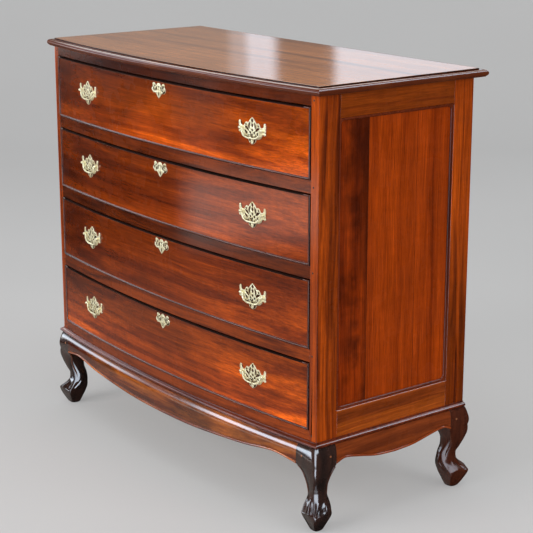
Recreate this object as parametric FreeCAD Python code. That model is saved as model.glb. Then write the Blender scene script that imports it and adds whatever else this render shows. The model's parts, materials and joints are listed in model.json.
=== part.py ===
"""Bow front chest of four drawers on cabriole legs with claw feet, solid wood with pierced brass pulls.

Millimetres. +X to the right, +Y to the back, +Z up. The origin lies on the floor, under the middle of
the chest's bounding box. Every piece that a cabinetmaker would saw, cast or turn is a solid of its own,
and pieces seat on each other through the same named values.
"""
import FreeCAD
import Part
import math
import os
from FreeCAD import Placement, Rotation, Vector

# ---- carcass -------------------------------------------------------------------------------------
carcass_width = 1084.0
carcass_depth = 447.0
bow_rise = 36.5            # how far the middle of the front stands before its corners
bead_bottom_z = 202.0      # underside of the astragal round the base
bead_height = 13.0
drawer_opening_height = 158.5
bottom_rail_height = 23.0
divider_height = 28.5
top_rail_height = 23.5
drawer_count = 4

# ---- top -----------------------------------------------------------------------------------------
top_thickness = 19.0
quirk_overhang = 5.4       # flat field's edge, outside the carcass
quirk_depth = 2.0
thumb_reach = 10.1         # how far the rounded edge stands beyond the quirk
thumb_undercut = -60       # degrees below its widest line where the rounded edge turns straight down
rear_shelf = 16.5          # extra overhang at the back, over a skirting

# ---- posts, side frames and back -----------------------------------------------------------------
post_width = 22.0
post_depth = 58.0
side_top_rail_height = 54.0
side_bottom_rail_height = 62.0
panel_thickness = 10.0
panel_recess = 6.0
groove_depth = 7.0
panel_board_shares = (0.27, 0.41, 0.32)    # widths of a panel's boards from the front, of the whole
edge_round = 4.0
front_tenon_length = 14.0
front_tenon_setback = 10.0
front_tenon_depth = 28.0
side_tenon_length = 15.0
side_tenon_thickness = 8.0
tenon_shoulder = 5.0
back_board_thickness = 12.0
back_board_count = 4
back_rabbet_width = 10.0

# ---- what carries and stops the drawers -----------------------------------------------------------
runner_width = 28.0
runner_height = 21.0
stop_length = 40.0
stop_height = 6.0
stop_thickness = 12.0
stop_place_x = 250.0
stop_gap = 0.4

# ---- base ----------------------------------------------------------------------------------------
bead_reach = 9.5
bead_fillet_height = 2.0
bead_fillet_reach = 2.0
cushion_reach = 12.0       # how far the apron's cushion stands before the carcass
cushion_crown_z = 177.0
cushion_upper_radius = 29.0
cushion_lower_radius = 64.0
cushion_low_z = 128.0
cushion_steps = (0.0, 0.4, 0.72, 1.0)   # heights of its flat strokes, in shares of its height
apron_thickness = 22.0
edge_bead_reach = 1.5
edge_bead_height = 5.0
block_size = 49.0          # leg block, from the carcass corner inwards
block_low_z = 156.0
block_steps = (0.0, 0.4, 0.75, 1.0)      # the same for the leg block's faces
back_apron_low_z = 158.0
front_edge_half = [(0.0, 138.0), (120.0, 139.5), (230.0, 146.0), (330.0, 153.5), (425.0, 164.0)]
front_edge_end_z = 156.0
side_edge_half = [(0.0, 144.5), (55.0, 148.0), (110.0, 159.5), (150.0, 166.0)]
side_edge_end_z = 158.0
edge_chords = 16           # straight strokes that make up an apron's lower curve
glue_block_size = 30.0
glue_block_low_z = 168.0
peg_radius = 2.5
leg_peg_length = 14.0
leg_peg_inset = 18.0
leg_peg_z = 179.0
post_peg_length = 30.0
peg_proud = 0.3

# ---- cabriole leg: height, then distances along and across the outward diagonal from the foot's middle
foot_inset = 13.0
foot_ridge_z = 45.0
leg_sections = [
    # z, outer arris, side corners along, side corners across, inner corner, roundness of the sides
    (140.0, 33.5, -9.5, 34.0, -42.0, 0.10),
    (121.0, 25.0, -6.0, 26.0, -34.0, 0.16),
    (103.0, 15.5, -10.0, 21.5, -35.0, 0.19),
    (84.0, 6.5, -17.0, 20.7, -40.5, 0.21),
    (71.0, 7.5, -17.5, 24.5, -42.5, 0.20),
    (60.0, 14.0, -14.0, 29.0, -43.0, 0.16),
]
foot_sections = [
    (foot_ridge_z, 37.5, -2.0, 34.3, -41.0, 0.12),
    (34.0, 36.0, -1.0, 31.8, -37.5, 0.12),
    (0.0, 12.0, -1.5, 14.5, -20.0, 0.16),
]

# ---- drawers -------------------------------------------------------------------------------------
drawer_front_thickness = 24.0
drawer_side_gap = 1.0
drawer_top_gap = 2.0
drawer_bottom_gap = 1.0
running_gap = 0.3          # drawer sides over their runners
drawer_side_thickness = 12.0
drawer_side_drop = 6.0     # sides and back are this much lower than the front's top edge
drawer_rear_space = 20.0
drawer_back_thickness = 12.0
drawer_bottom_thickness = 8.0
drawer_bottom_raise = 10.0
drawer_groove = 5.0
cockbead_width = 4.0
cockbead_proud = 3.0
cockbead_inlet = 6.0
tail_length = 12.0
tail_count = 3
tail_narrow = 24.0
tail_wide = 31.0

# ---- lock ----------------------------------------------------------------------------------------
lock_width = 64.0
lock_height = 42.0
lock_thickness = 11.0
lock_proud = 0.6           # behind the middle of the drawer front's back
bolt_width = 22.0
bolt_thickness = 4.0
bolt_height = 22.0
bolt_travel = 8.0
bolt_gap = 0.4
bolt_setback = 4.0         # bolt's back face, before the back of the lock case
mortise_spare = 1.5

# ---- brass pulls and escutcheons -----------------------------------------------------------------
pull_place_x = 342.0
pull_above_middle = 4.0
plate_thickness = 2.0
post_spacing = 70.0
post_height_on_plate = 4.5
shank_radius = 2.4
neck_radius = 2.4
knob_radius = 3.4
knob_stand = 6.9           # knob's middle before the drawer front
nut_radius = 6.0
nut_thickness = 3.0
bail_wire_radius = 2.1
bail_half_width = 27.5     # middle of a bail's arm; the arms hang between the posts
bail_bulge = 1.0           # how far the arms swell outwards
bail_corner_in = 5.0       # how far a bail's lower corners lie inside its arms
bail_corner_up = 2.6
bail_drop = 20.0
bail_pin_radius = 1.3
pin_clearance = 0.06
pin_reach = 8.0
bore_beyond_pin = 0.7
escutcheon_thickness = 1.6
escutcheon_below_top = 3.5
keyhole_drop = 9.0
keyhole_radius = 2.3
keyhole_slot_width = 2.2
keyhole_slot_length = 8.0

# ---- how close two numbers count as the same --------------------------------------------------------
same_place = 1e-6

# ---- worked out ----------------------------------------------------------------------------------
half_width = carcass_width / 2
bow_radius = (half_width ** 2 + bow_rise ** 2) / (2 * bow_rise)
top_overhang = quirk_overhang + thumb_reach
overall_depth = bow_rise + top_overhang + carcass_depth + rear_shelf + top_overhang
corner_y = bow_rise + top_overhang - overall_depth / 2
carcass_back = corner_y + carcass_depth
bow_centre_y = corner_y - bow_rise + bow_radius
carcass_low_z = bead_bottom_z + bead_height
opening_pitch = drawer_opening_height + divider_height
first_opening_z = carcass_low_z + bottom_rail_height
top_rail_z = first_opening_z + drawer_count * opening_pitch - divider_height
carcass_top_z = top_rail_z + top_rail_height
overall_height = carcass_top_z + top_thickness
post_back = corner_y + post_depth
back_post_front = carcass_back - post_depth
opening_half = half_width - post_width
drawer_half = opening_half - drawer_side_gap
inner_half = drawer_half - drawer_side_thickness
drawer_back = carcass_back - back_board_thickness - drawer_rear_space
front_height = drawer_opening_height - drawer_top_gap - drawer_bottom_gap


def opening_z(number):
    """Height of the floor of drawer `number`'s opening; drawer 1 is the top one."""
    return first_opening_z + (drawer_count - number) * opening_pitch


def bow_y(x, out=0.0):
    """Y of the curve that runs parallel to the carcass's bow, `out` before it."""
    return bow_centre_y - math.sqrt((bow_radius + out) ** 2 - x ** 2)


shoulder_y = bow_y(inner_half) + drawer_front_thickness


# ---- shapes that several pieces share ------------------------------------------------------------
def box(x0, x1, y0, y1, z0, z1):
    """A box between two opposite corners."""
    return Part.makeBox(x1 - x0, y1 - y0, z1 - z0, Vector(x0, y0, z0))


def bowed_wire(z, out, side_out=None, back_y=None):
    """The chest's plan outline at height z: bowed front, straight sides and back, `out` outside."""
    half = half_width + (out if side_out is None else side_out)
    rear = carcass_back if back_y is None else back_y
    left = Vector(-half, bow_y(-half, out), z)
    right = Vector(half, bow_y(half, out), z)
    front = Part.Arc(left, Vector(0, bow_y(0, out), z), right).toShape()
    rear_right = Vector(half, rear, z)
    rear_left = Vector(-half, rear, z)
    return Part.Wire([front, Part.makeLine(right, rear_right), Part.makeLine(rear_right, rear_left),
                      Part.makeLine(rear_left, left)])


def bowed_prism(z0, z1, out=0.0, side_out=None, back_y=None):
    """The plan outline raised from z0 to z1."""
    return Part.Face(bowed_wire(z0, out, side_out, back_y)).extrude(Vector(0, 0, z1 - z0))


def bowed_moulding(profile, back_y=None):
    """A solid whose front and side edges follow `profile`, a list of (out, z), round the plan outline.

    The front is turned about the bow's own axis and the sides are drawn out straight; where the two
    meet they form the mitre. With back_y None the back edge follows the profile as well.
    """
    low, high = profile[0][1], profile[-1][1]
    deep = bow_radius - 2 * carcass_depth
    corners = [Vector(0, bow_centre_y - deep, low)]
    corners += [Vector(0, bow_centre_y - bow_radius - out, z) for out, z in profile]
    corners.append(Vector(0, bow_centre_y - deep, high))
    face = flat_face(corners)
    angle = math.degrees(math.asin(carcass_width / deep))
    axis = Vector(0, bow_centre_y, 0)
    face.rotate(axis, Vector(0, 0, 1), -angle)
    front = face.revolve(axis, Vector(0, 0, 1), 2 * angle)
    across = [(half_width + out, z) for out, z in profile]
    across += [(-x, z) for x, z in reversed(across)]
    rear = carcass_back + rear_shelf + top_overhang if back_y is None else back_y
    sides = along_y(across, corner_y - 2 * bow_rise, rear)
    solid = front.common(sides)
    if back_y is None:
        behind = [(corner_y - 2 * bow_rise, low)]
        behind += [(carcass_back + rear_shelf + out, z) for out, z in profile]
        behind.append((corner_y - 2 * bow_rise, high))
        solid = solid.common(along_x(behind, -carcass_width, carcass_width))
    return solid


def prism_along_y(x, z, radius, y0, length, sides=6, turn=0.5):
    """A regular prism round an axis parallel to Y; `turn` is in shares of one side's angle."""
    ring = regular_ring(radius, sides, turn)
    corners = [Vector(x + a, y0, z + b) for a, b in ring]
    return flat_face(corners).extrude(Vector(0, length, 0))


def prism_along_x(y, z, radius, x0, length, sides=6, turn=0.5):
    """A regular prism round an axis parallel to X."""
    ring = regular_ring(radius, sides, turn)
    corners = [Vector(x0, y + a, z + b) for a, b in ring]
    return flat_face(corners).extrude(Vector(length, 0, 0))


def regular_ring(radius, sides, turn):
    """Corners of a regular polygon round (0, 0)."""
    angles = [2 * math.pi * (index + turn) / sides for index in range(sides)]
    return [(radius * math.cos(angle), radius * math.sin(angle)) for angle in angles]


def along_x(points, x0, x1):
    """A closed polygon of (y, z) points, drawn out from x0 to x1."""
    corners = [Vector(x0, y, z) for y, z in points]
    return flat_face(corners).extrude(Vector(x1 - x0, 0, 0))


def along_y(points, y0, y1):
    """A closed polygon of (x, z) points, drawn out from y0 to y1."""
    corners = [Vector(x, y0, z) for x, z in points]
    return flat_face(corners).extrude(Vector(0, y1 - y0, 0))


def skin(rings):
    """A solid with flat facets over rings of equally many points, closed by its first and last ring."""
    faces = [flat_face(rings[0]), flat_face(rings[-1])]
    for below, above in zip(rings, rings[1:]):
        for index in range(len(below)):
            a, b = below[index], below[(index + 1) % len(below)]
            c, d = above[(index + 1) % len(above)], above[index]
            faces += [flat_face([a, b, c]), flat_face([a, c, d])]
    return Part.Solid(Part.makeShell(faces)).removeSplitter()


def flat_face(points):
    """A flat face through three or more points that lie in one plane."""
    return Part.Face(Part.makePolygon(points + points[:1]))


def mirrored_x(shape):
    """The shape on the other side of the chest."""
    return shape.mirror(Vector(0, 0, 0), Vector(1, 0, 0))


def both_sides(shape):
    """The shape and its mirror image, as separate solids."""
    return [shape, mirrored_x(shape)]


def largest_solid(shape):
    """The largest solid of a shape."""
    return max(shape.Solids, key=lambda solid: solid.Volume)


# ---- top -----------------------------------------------------------------------------------------
def top_board():
    """The top: a flat field, a small quirk and a thumb moulding that runs all round."""
    half_height = (top_thickness - quirk_depth) / 2
    middle_z = carcass_top_z + half_height
    profile = []
    for angle in (-90, -60, -25, 10, 45, 80):
        out = quirk_overhang + thumb_reach * math.cos(math.radians(max(angle, thumb_undercut)))
        profile.append((out, middle_z + half_height * math.sin(math.radians(angle))))
    profile.append((quirk_overhang, middle_z + half_height * math.sin(math.radians(80))))
    profile.append((quirk_overhang, overall_height))
    return bowed_moulding(profile)


# ---- rails across the front ----------------------------------------------------------------------
def rail_spans():
    """Low and high Z of the five front rails, from the bottom one up."""
    spans = [(carcass_low_z, first_opening_z)]
    for number in range(drawer_count, 1, -1):
        low = opening_z(number) + drawer_opening_height
        spans.append((low, low + divider_height))
    spans.append((top_rail_z, carcass_top_z))
    return spans


def front_tenon(z0, z1):
    """The right end tenon of a front rail that spans z0 to z1."""
    y0 = corner_y + front_tenon_setback
    return box(opening_half, opening_half + front_tenon_length, y0, y0 + front_tenon_depth,
               z0 + tenon_shoulder, z1 - tenon_shoulder)


def bolt_box(number, low, high, gap):
    """Plan of lock bolt `number`, between two heights, with a gap all round."""
    back = bow_y(0) + drawer_front_thickness - bolt_setback + gap
    half = bolt_width / 2 + gap
    return box(-half, half, back - bolt_thickness - 2 * gap, back, low, high)


def front_rails():
    """Five rails, bowed with the front, tenoned into the posts and mortised for the lock bolts."""
    rails = []
    for z0, z1 in rail_spans():
        body = bowed_prism(z0, z1, 0.0).common(
            box(-opening_half, opening_half, bow_y(0) - bow_rise, post_back, z0, z1))
        rails.append(body.fuse(both_sides(front_tenon(z0, z1))).removeSplitter())
    for number in range(1, drawer_count + 1):
        ceiling = opening_z(number) + drawer_opening_height
        depth = bolt_travel - drawer_top_gap + mortise_spare
        mortise = bolt_box(number, ceiling, ceiling + depth, mortise_spare)
        rail = drawer_count + 1 - number
        rails[rail] = rails[rail].cut(mortise)
    return rails


# ---- side frames ---------------------------------------------------------------------------------
def side_rail_spans():
    """Low and high Z of a side frame's bottom and top rail."""
    return [(carcass_low_z, carcass_low_z + side_bottom_rail_height),
            (carcass_top_z - side_top_rail_height, carcass_top_z)]


def side_tenons():
    """The tenons of the right side's rails, front ends first."""
    tenons = []
    x1 = half_width - panel_recess
    for z0, z1 in side_rail_spans():
        low, high = z0 + 2 * tenon_shoulder, z1 - 2 * tenon_shoulder
        for y0 in (post_back - side_tenon_length, back_post_front):
            tenons.append(box(x1 - side_tenon_thickness, x1, y0, y0 + side_tenon_length, low, high))
    return tenons


def panel_span():
    """Y and Z limits of the right panel with its tongues."""
    (_, low), (high, _) = side_rail_spans()
    y0, y1 = post_back, back_post_front
    return y0 - groove_depth, y1 + groove_depth, low - groove_depth, high + groove_depth


def panel_slab():
    """The whole right panel, before it is divided into boards."""
    y0, y1, z0, z1 = panel_span()
    x1 = half_width - panel_recess
    return box(x1 - panel_thickness, x1, y0, y1, z0, z1)


def side_panels():
    """Each side's panel: boards glued edge to edge, grain upright."""
    y0, y1, z0, z1 = panel_span()
    x1 = half_width - panel_recess
    boards, low = [], y0
    for share in panel_board_shares:
        width = share * (y1 - y0)
        boards += both_sides(box(x1 - panel_thickness, x1, low, low + width, z0, z1))
        low += width
    return boards


def side_rails():
    """Top and bottom rail of both side frames, grooved for the panel, rounded along it."""
    rails = []
    tenons = side_tenons()
    for index, (z0, z1) in enumerate(side_rail_spans()):
        body = box(opening_half, half_width, post_back, back_post_front, z0, z1)
        inner_z = z1 if index == 0 else z0
        middles = [(edge, edge.CenterOfMass) for edge in body.Edges]
        edges = [edge for edge, at in middles if abs(at.x - half_width) + abs(at.z - inner_z) < same_place]
        body = body.makeFillet(edge_round, edges)
        body = body.cut(panel_slab()).fuse(tenons[2 * index:2 * index + 2]).removeSplitter()
        rails += both_sides(body)
    return rails


def edge_chamfer(y, inward):
    """What the moulding of a post's outer edge at y takes off, between the side rails."""
    (_, low), (high, _) = side_rail_spans()
    turn = [math.radians(angle) for angle in (0, 45, 90)]
    depths = [(edge_round * (1 - math.cos(a)), edge_round * (1 - math.sin(a))) for a in turn]
    arc = [Vector(half_width - depth, y + inward * back, low) for depth, back in depths]
    beyond = [Vector(half_width + 1, y - inward, low), Vector(half_width + 1, y + inward * edge_round, low)]
    corners = [beyond[1]] + arc + [Vector(half_width - edge_round, y - inward, low), beyond[0]]
    return flat_face(corners).extrude(Vector(0, 0, high - low))


def front_post():
    """The right front post: bowed face, mortises for the rails, groove for the panel."""
    plan = [(opening_half, bow_y(opening_half)), (half_width, corner_y), (half_width, post_back),
            (opening_half, post_back)]
    corners = [Vector(x, y, carcass_low_z) for x, y in plan]
    blank = flat_face(corners).extrude(Vector(0, 0, carcass_top_z - carcass_low_z))
    blank = blank.cut(edge_chamfer(post_back, -1))
    return blank.cut([front_tenon(z0, z1) for z0, z1 in rail_spans()] + side_tenons() + [panel_slab()])


def back_post():
    """The right back post: rabbet for the back boards, mortises and groove as on the front one."""
    blank = box(opening_half, half_width, back_post_front, carcass_back, carcass_low_z, carcass_top_z)
    blank = blank.cut(edge_chamfer(back_post_front, 1))
    rabbet = box(opening_half, opening_half + back_rabbet_width, carcass_back - back_board_thickness,
                 carcass_back, carcass_low_z, carcass_top_z)
    return blank.cut(side_tenons() + [panel_slab(), rabbet])


def back_boards():
    """Boards across the back, nailed into the posts' rabbets."""
    half = opening_half + back_rabbet_width
    height = (carcass_top_z - carcass_low_z) / back_board_count
    boards = []
    for index in range(back_board_count):
        low = carcass_low_z + index * height
        boards.append(box(-half, half, carcass_back - back_board_thickness, carcass_back, low, low + height))
    return boards


# ---- drawer runners, kickers and stops -----------------------------------------------------------
def drawer_runners():
    """A runner under each drawer side, from the rail to the back, and two kickers over the top drawer."""
    runners = []
    tops = [opening_z(number) for number in range(1, drawer_count + 1)]
    tops.append(top_rail_z + runner_height)
    for top in tops:
        bar = box(opening_half - runner_width, opening_half, post_back, carcass_back - back_board_thickness,
                  top - runner_height, top)
        runners += both_sides(bar)
    return runners


def drawer_stops():
    """Blocks glued on the rails, just behind the closed drawer fronts."""
    stops = []
    inner = bow_y(stop_place_x - stop_length / 2, -drawer_front_thickness)
    outer = bow_y(stop_place_x + stop_length / 2, -drawer_front_thickness)
    y0 = max(inner, outer) + stop_gap
    for number in range(1, drawer_count + 1):
        low = opening_z(number)
        stops += both_sides(box(stop_place_x - stop_length / 2, stop_place_x + stop_length / 2,
                                y0, y0 + stop_thickness, low, low + stop_height))
    return stops


# ---- base ----------------------------------------------------------------------------------------
def cushion_out(z):
    """How far the apron's cushion stands before the carcass at height z: two quarter ellipses."""
    radius = cushion_upper_radius if z > cushion_crown_z else cushion_lower_radius
    return cushion_reach * math.sqrt(1 - ((z - cushion_crown_z) / radius) ** 2)


def cushion(extra=0.0):
    """The cushion round the front and sides, flat behind the astragal, down to cushion_low_z."""
    heights = [cushion_low_z + (bead_bottom_z - cushion_low_z) * step for step in cushion_steps]
    profile = [(cushion_out(z) + extra, z) for z in heights]
    if not extra:
        profile += [(0.0, bead_bottom_z), (0.0, carcass_low_z)]
    return bowed_moulding(profile, carcass_back)


def mirrored_curve(half_points, end):
    """A symmetrical row of (distance, z) points from its right half and its end point."""
    right = half_points + [end]
    left = [(-distance, z) for distance, z in reversed(right[1:])]
    return left + right


def smooth_points(points, chords):
    """A smooth curve through (distance, z) points, in chords."""
    curve = Part.BSplineCurve()
    curve.interpolate([Vector(distance, 0, z) for distance, z in points])
    return [(point.x, point.z) for point in curve.toShape().discretize(chords + 1)]


def shaped_prism(points, top, draw_out, lift=0.0):
    """What lies under `top` and over the curve through the points, raised by `lift`."""
    lower = [(distance, z + lift) for distance, z in smooth_points(points, edge_chords)]
    return draw_out(lower + [(lower[-1][0], top), (lower[0][0], top)])


def apron(points, draw_out):
    """An apron board: the cushion within a shaped outline, with a small bead along its lower edge."""
    hollow = bowed_prism(cushion_low_z, carcass_low_z, -apron_thickness, None,
                         carcass_back + apron_thickness)
    outline = shaped_prism(points, carcass_low_z, draw_out)
    board = cushion().cut(hollow).common(outline)
    band = outline.cut(shaped_prism(points, carcass_low_z + edge_bead_height, draw_out, edge_bead_height))
    bead = cushion(edge_bead_reach).cut(hollow).common(band)
    return largest_solid(board.fuse(bead).removeSplitter())


def front_apron():
    """The bowed front apron, between the leg blocks."""
    points = mirrored_curve(front_edge_half, (half_width - block_size, front_edge_end_z))
    return apron(points, lambda outline: along_y(outline, corner_y - 2 * bow_rise, corner_y + block_size))


def side_aprons():
    """The side aprons, between the leg blocks."""
    middle = corner_y + carcass_depth / 2
    points = mirrored_curve(side_edge_half, (carcass_depth / 2 - block_size, side_edge_end_z))
    points = [(middle + y, z) for y, z in points]
    right = apron(points, lambda outline: along_x(outline, half_width - block_size, half_width + block_size))
    return both_sides(right)


def back_apron():
    """A plain board between the back leg blocks."""
    end = half_width - block_size
    return box(-end, end, carcass_back - apron_thickness, carcass_back, back_apron_low_z, carcass_low_z)


def base_bead():
    """The astragal under the carcass: front and two sides, mitred at the corners."""
    half_height = (bead_height - bead_fillet_height) / 2
    middle_z = bead_bottom_z + half_height
    profile = []
    for angle in (-80, -35, 0, 35, 75):
        out = bead_reach * math.cos(math.radians(angle))
        profile.append((out, middle_z + half_height * math.sin(math.radians(angle))))
    profile[0] = (profile[0][0], bead_bottom_z)
    fillet_z = carcass_low_z - bead_fillet_height
    profile += [(bead_fillet_reach, fillet_z), (bead_fillet_reach, carcass_low_z)]
    ring = bowed_moulding(profile, carcass_back)
    ring = ring.cut(bowed_prism(bead_bottom_z - 1, carcass_low_z + 1, 0.0, None, carcass_back + 1))
    corner = Vector(half_width, corner_y, 0)
    tip = Vector(half_width + bead_reach, bow_y(half_width + bead_reach, bead_reach), 0)
    far = corner + (tip - corner) * 2
    front_zone = [(-far.x, far.y), (-corner.x, corner.y), (corner.x, corner.y), (far.x, far.y),
                  (0, bow_y(0) - 2 * bow_rise)]
    corners = [Vector(x, y, bead_bottom_z - 1) for x, y in front_zone]
    zone = flat_face(corners).extrude(Vector(0, 0, bead_height + 2))
    return ring.common(zone).Solids + ring.cut(zone).Solids


# ---- legs ----------------------------------------------------------------------------------------
def leg_ring(z, corners, roundness):
    """The outline at height z: four plan corners whose sides swell by `roundness` in two chords."""
    middle = Vector(sum(x for x, _ in corners) / 4, sum(y for _, y in corners) / 4, z)
    points = []
    for index in range(4):
        start = Vector(*corners[index], z)
        end = Vector(*corners[(index + 1) % 4], z)
        outward = ((start + end) * 0.5 - middle).normalize() * ((end - start).Length * roundness)
        points += [start, (start + end) / 2 + outward]
    return points


def diagonal_corners(outer, side_along, side_across, inner):
    """Plan corners of a leg section, for the right front leg, from distances on its diagonal."""
    root = math.sqrt(0.5)
    foot = Vector(half_width - foot_inset, corner_y + foot_inset, 0)
    places = [(outer, 0), (side_along, side_across), (inner, 0), (side_along, -side_across)]
    return [(foot.x + (along + across) * root, foot.y + (across - along) * root)
            for along, across in places]


def block_corners(out, bowed):
    """Plan corners of the leg block where it stands `out` outside, in the order of diagonal_corners."""
    x0, x1 = half_width - block_size, half_width + out
    y1 = corner_y + block_size
    front_at = (lambda x: bow_y(x, out)) if bowed else (lambda x: corner_y - out)
    return [(x1, front_at(x1)), (x1, y1), (x0, y1), (x0, front_at(x0))]


def leg_block(bowed):
    """The square block at the head of the right front leg, its faces cushioned like the aprons."""
    rings = []
    for step in block_steps:
        z = block_low_z + (bead_bottom_z - block_low_z) * step
        rings.append([Vector(x, y, z) for x, y in block_corners(cushion_out(z), bowed)])
    head = [Vector(x, y, bead_bottom_z) for x, y in block_corners(0.0, bowed)]
    return skin(rings).fuse(flat_face(head).extrude(Vector(0, 0, bead_height)))


def right_front_leg(bowed):
    """A cabriole leg: block, S-curved shaft from one loft, and a faceted claw foot."""
    rings = [leg_ring(block_low_z, block_corners(cushion_out(block_low_z), bowed), 0.0)]
    for z, outer, along, across, inner, roundness in leg_sections + foot_sections:
        rings.append(leg_ring(z, diagonal_corners(outer, along, across, inner), roundness))
    return leg_block(bowed).fuse(skin(rings)).removeSplitter()


def legs(front):
    """Both front or both back legs; the back ones are the front ones turned to face the rear corners."""
    leg = right_front_leg(front)
    if not front:
        middle = corner_y + carcass_depth / 2
        leg = leg.mirror(Vector(0, middle, 0), Vector(0, 1, 0))
    leg = leg.cut(leg_pegs())
    return both_sides(leg)


def corner_blocks():
    """Glue blocks in the angle between each leg block and the front or back apron."""
    x1 = half_width - block_size
    blocks = []
    front = box(x1 - glue_block_size, x1, corner_y - bow_rise, corner_y + block_size - apron_thickness,
                glue_block_low_z, carcass_low_z)
    front = front.common(bowed_prism(glue_block_low_z, carcass_low_z, -apron_thickness))
    back_y = carcass_back - apron_thickness
    back = box(x1 - glue_block_size, x1, back_y - glue_block_size, back_y, glue_block_low_z, carcass_low_z)
    for block in (front, back):
        blocks += both_sides(block)
    return blocks


# ---- pegs ----------------------------------------------------------------------------------------
def leg_pegs():
    """Riven square pegs through the right leg blocks, one into each visible face."""
    out = cushion_out(leg_peg_z) + peg_proud
    front_x = half_width - block_size + leg_peg_inset
    side_x = half_width + out
    pegs = [prism_along_y(front_x, leg_peg_z, peg_radius, bow_y(front_x, out), leg_peg_length, 4)]
    for y in (corner_y + block_size - leg_peg_inset, carcass_back - block_size + leg_peg_inset):
        pegs.append(prism_along_x(y, leg_peg_z, peg_radius, side_x, -leg_peg_length, 4))
    return pegs


def post_pegs():
    """Pegs through the right front post and each rail's tenon."""
    x = opening_half + front_tenon_length / 2
    return [prism_along_y(x, (z0 + z1) / 2, peg_radius, bow_y(x, peg_proud), post_peg_length, 4)
            for z0, z1 in rail_spans()]


# ---- drawers -------------------------------------------------------------------------------------
def front_limits(number):
    """Low and high Z of a drawer front."""
    low = opening_z(number) + drawer_bottom_gap
    return low, low + front_height


def side_limits(number):
    """Low and high Z of a drawer's sides."""
    return opening_z(number) + running_gap, front_limits(number)[1] - drawer_side_drop


def bottom_limits(number):
    """Low and high Z of a drawer's bottom board."""
    low = side_limits(number)[0] + drawer_bottom_raise
    return low, low + drawer_bottom_thickness


def dovetail_tails(number):
    """The lapped tails on the front end of a right drawer side."""
    low, high = side_limits(number)
    pitch = (high - low) / tail_count
    tails = []
    for index in range(tail_count):
        middle = low + (index + 0.5) * pitch
        points = [(shoulder_y, middle - tail_narrow / 2), (shoulder_y - tail_length, middle - tail_wide / 2),
                  (shoulder_y - tail_length, middle + tail_wide / 2), (shoulder_y, middle + tail_narrow / 2)]
        tails.append(along_x(points, inner_half, drawer_half))
    return tails


def drawer_bottom(number):
    """The bottom board, bowed in front, let into grooves in the sides and the front."""
    low, high = bottom_limits(number)
    half = inner_half + drawer_groove
    limit = box(-half, half, bow_y(0), drawer_back, low, high)
    return bowed_prism(low, high, drawer_groove - drawer_front_thickness).common(limit)


def bead_nose():
    """The rounded nose of the cockbead as (across, before the face), in two chords."""
    radius = cockbead_width / 2
    angles = [math.radians(angle) for angle in (0, 90, 180)]
    return [(radius * (1 - math.cos(angle)), cockbead_proud - radius * (1 - math.sin(angle)))
            for angle in angles]


def cockbead_bar(low, reach):
    """A bar of the bead's section, bent with the bow, `reach` to either side, its underside at low."""
    section = [(0, -cockbead_inlet)] + bead_nose() + [(cockbead_width, -cockbead_inlet)]
    corners = [Vector(0, bow_centre_y - bow_radius - before, low + across) for across, before in section]
    face = flat_face(corners)
    angle = math.degrees(math.asin(reach / (bow_radius - cockbead_inlet)))
    axis = Vector(0, bow_centre_y, 0)
    face.rotate(axis, Vector(0, 0, 1), -angle)
    return face.revolve(axis, Vector(0, 0, 1), 2 * angle)


def upright_bead(low, high):
    """The right upright strip of the cockbead."""
    y_face = bow_y(drawer_half - cockbead_width / 2)
    section = [(0, -cockbead_inlet)] + bead_nose() + [(cockbead_width, -cockbead_inlet)]
    corners = [Vector(drawer_half - across, y_face - before, low) for across, before in section]
    return flat_face(corners).extrude(Vector(0, 0, high - low))


def cockbead(number):
    """Four bead strips round a drawer front, mitred at the corners."""
    low, high = front_limits(number)
    y0, y1 = bow_y(0) - cockbead_proud - 1, bow_y(0) + drawer_front_thickness + bow_rise
    w = cockbead_width
    top_zone = along_y([(-drawer_half, high), (drawer_half, high), (drawer_half - w, high - w),
                        (w - drawer_half, high - w)], y0, y1)
    bottom_zone = along_y([(-drawer_half, low), (drawer_half, low), (drawer_half - w, low + w),
                           (w - drawer_half, low + w)], y0, y1)
    right_zone = along_y([(drawer_half, low), (drawer_half, high), (drawer_half - w, high - w),
                          (drawer_half - w, low + w)], y0, y1)
    strips = [cockbead_bar(high - w, drawer_half + w).common(top_zone),
              cockbead_bar(low, drawer_half + w).common(bottom_zone)]
    strips += both_sides(upright_bead(low, high).common(right_zone))
    return strips


def lock_case_box(number):
    """The lock's case, let into the back of the drawer front under its top edge."""
    high = front_limits(number)[1]
    back = bow_y(0) + drawer_front_thickness + lock_proud
    return box(-lock_width / 2, lock_width / 2, back - lock_thickness, back, high - lock_height, high)


def keyhole(number, depth):
    """The keyhole through the drawer front: a round eye over a slot."""
    top = front_limits(number)[1] - cockbead_width - escutcheon_below_top
    eye_z = top - keyhole_drop
    y = bow_y(0) - depth
    length = drawer_front_thickness - lock_thickness + depth
    eye = prism_along_y(0, eye_z, keyhole_radius, y, length)
    slot = box(-keyhole_slot_width / 2, keyhole_slot_width / 2, y, y + length,
               eye_z - keyhole_slot_length, eye_z)
    return eye.fuse(slot)


def drawer_front(number):
    """The bowed front with its rabbets, sockets, groove, lock recess, keyhole and bolt holes."""
    low, high = front_limits(number)
    hollow = bowed_prism(low, high, -drawer_front_thickness, None, carcass_back + 1)
    slab = bowed_prism(low, high).cut(hollow)
    limit = box(-drawer_half, drawer_half, bow_y(0) - 1, shoulder_y, low, high)
    slab = slab.common(limit)
    ends = box(inner_half, drawer_half, shoulder_y, shoulder_y + drawer_front_thickness, low, high)
    tools = both_sides(ends)
    for tail in dovetail_tails(number):
        tools += both_sides(tail)
    tools += cockbead(number)
    tools += [drawer_bottom(number), lock_case_box(number), keyhole(number, 1.0)]
    tools += [shank for place in pull_places(number) for shank in pull_shanks(place)]
    return largest_solid(slab.cut(tools))


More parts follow.
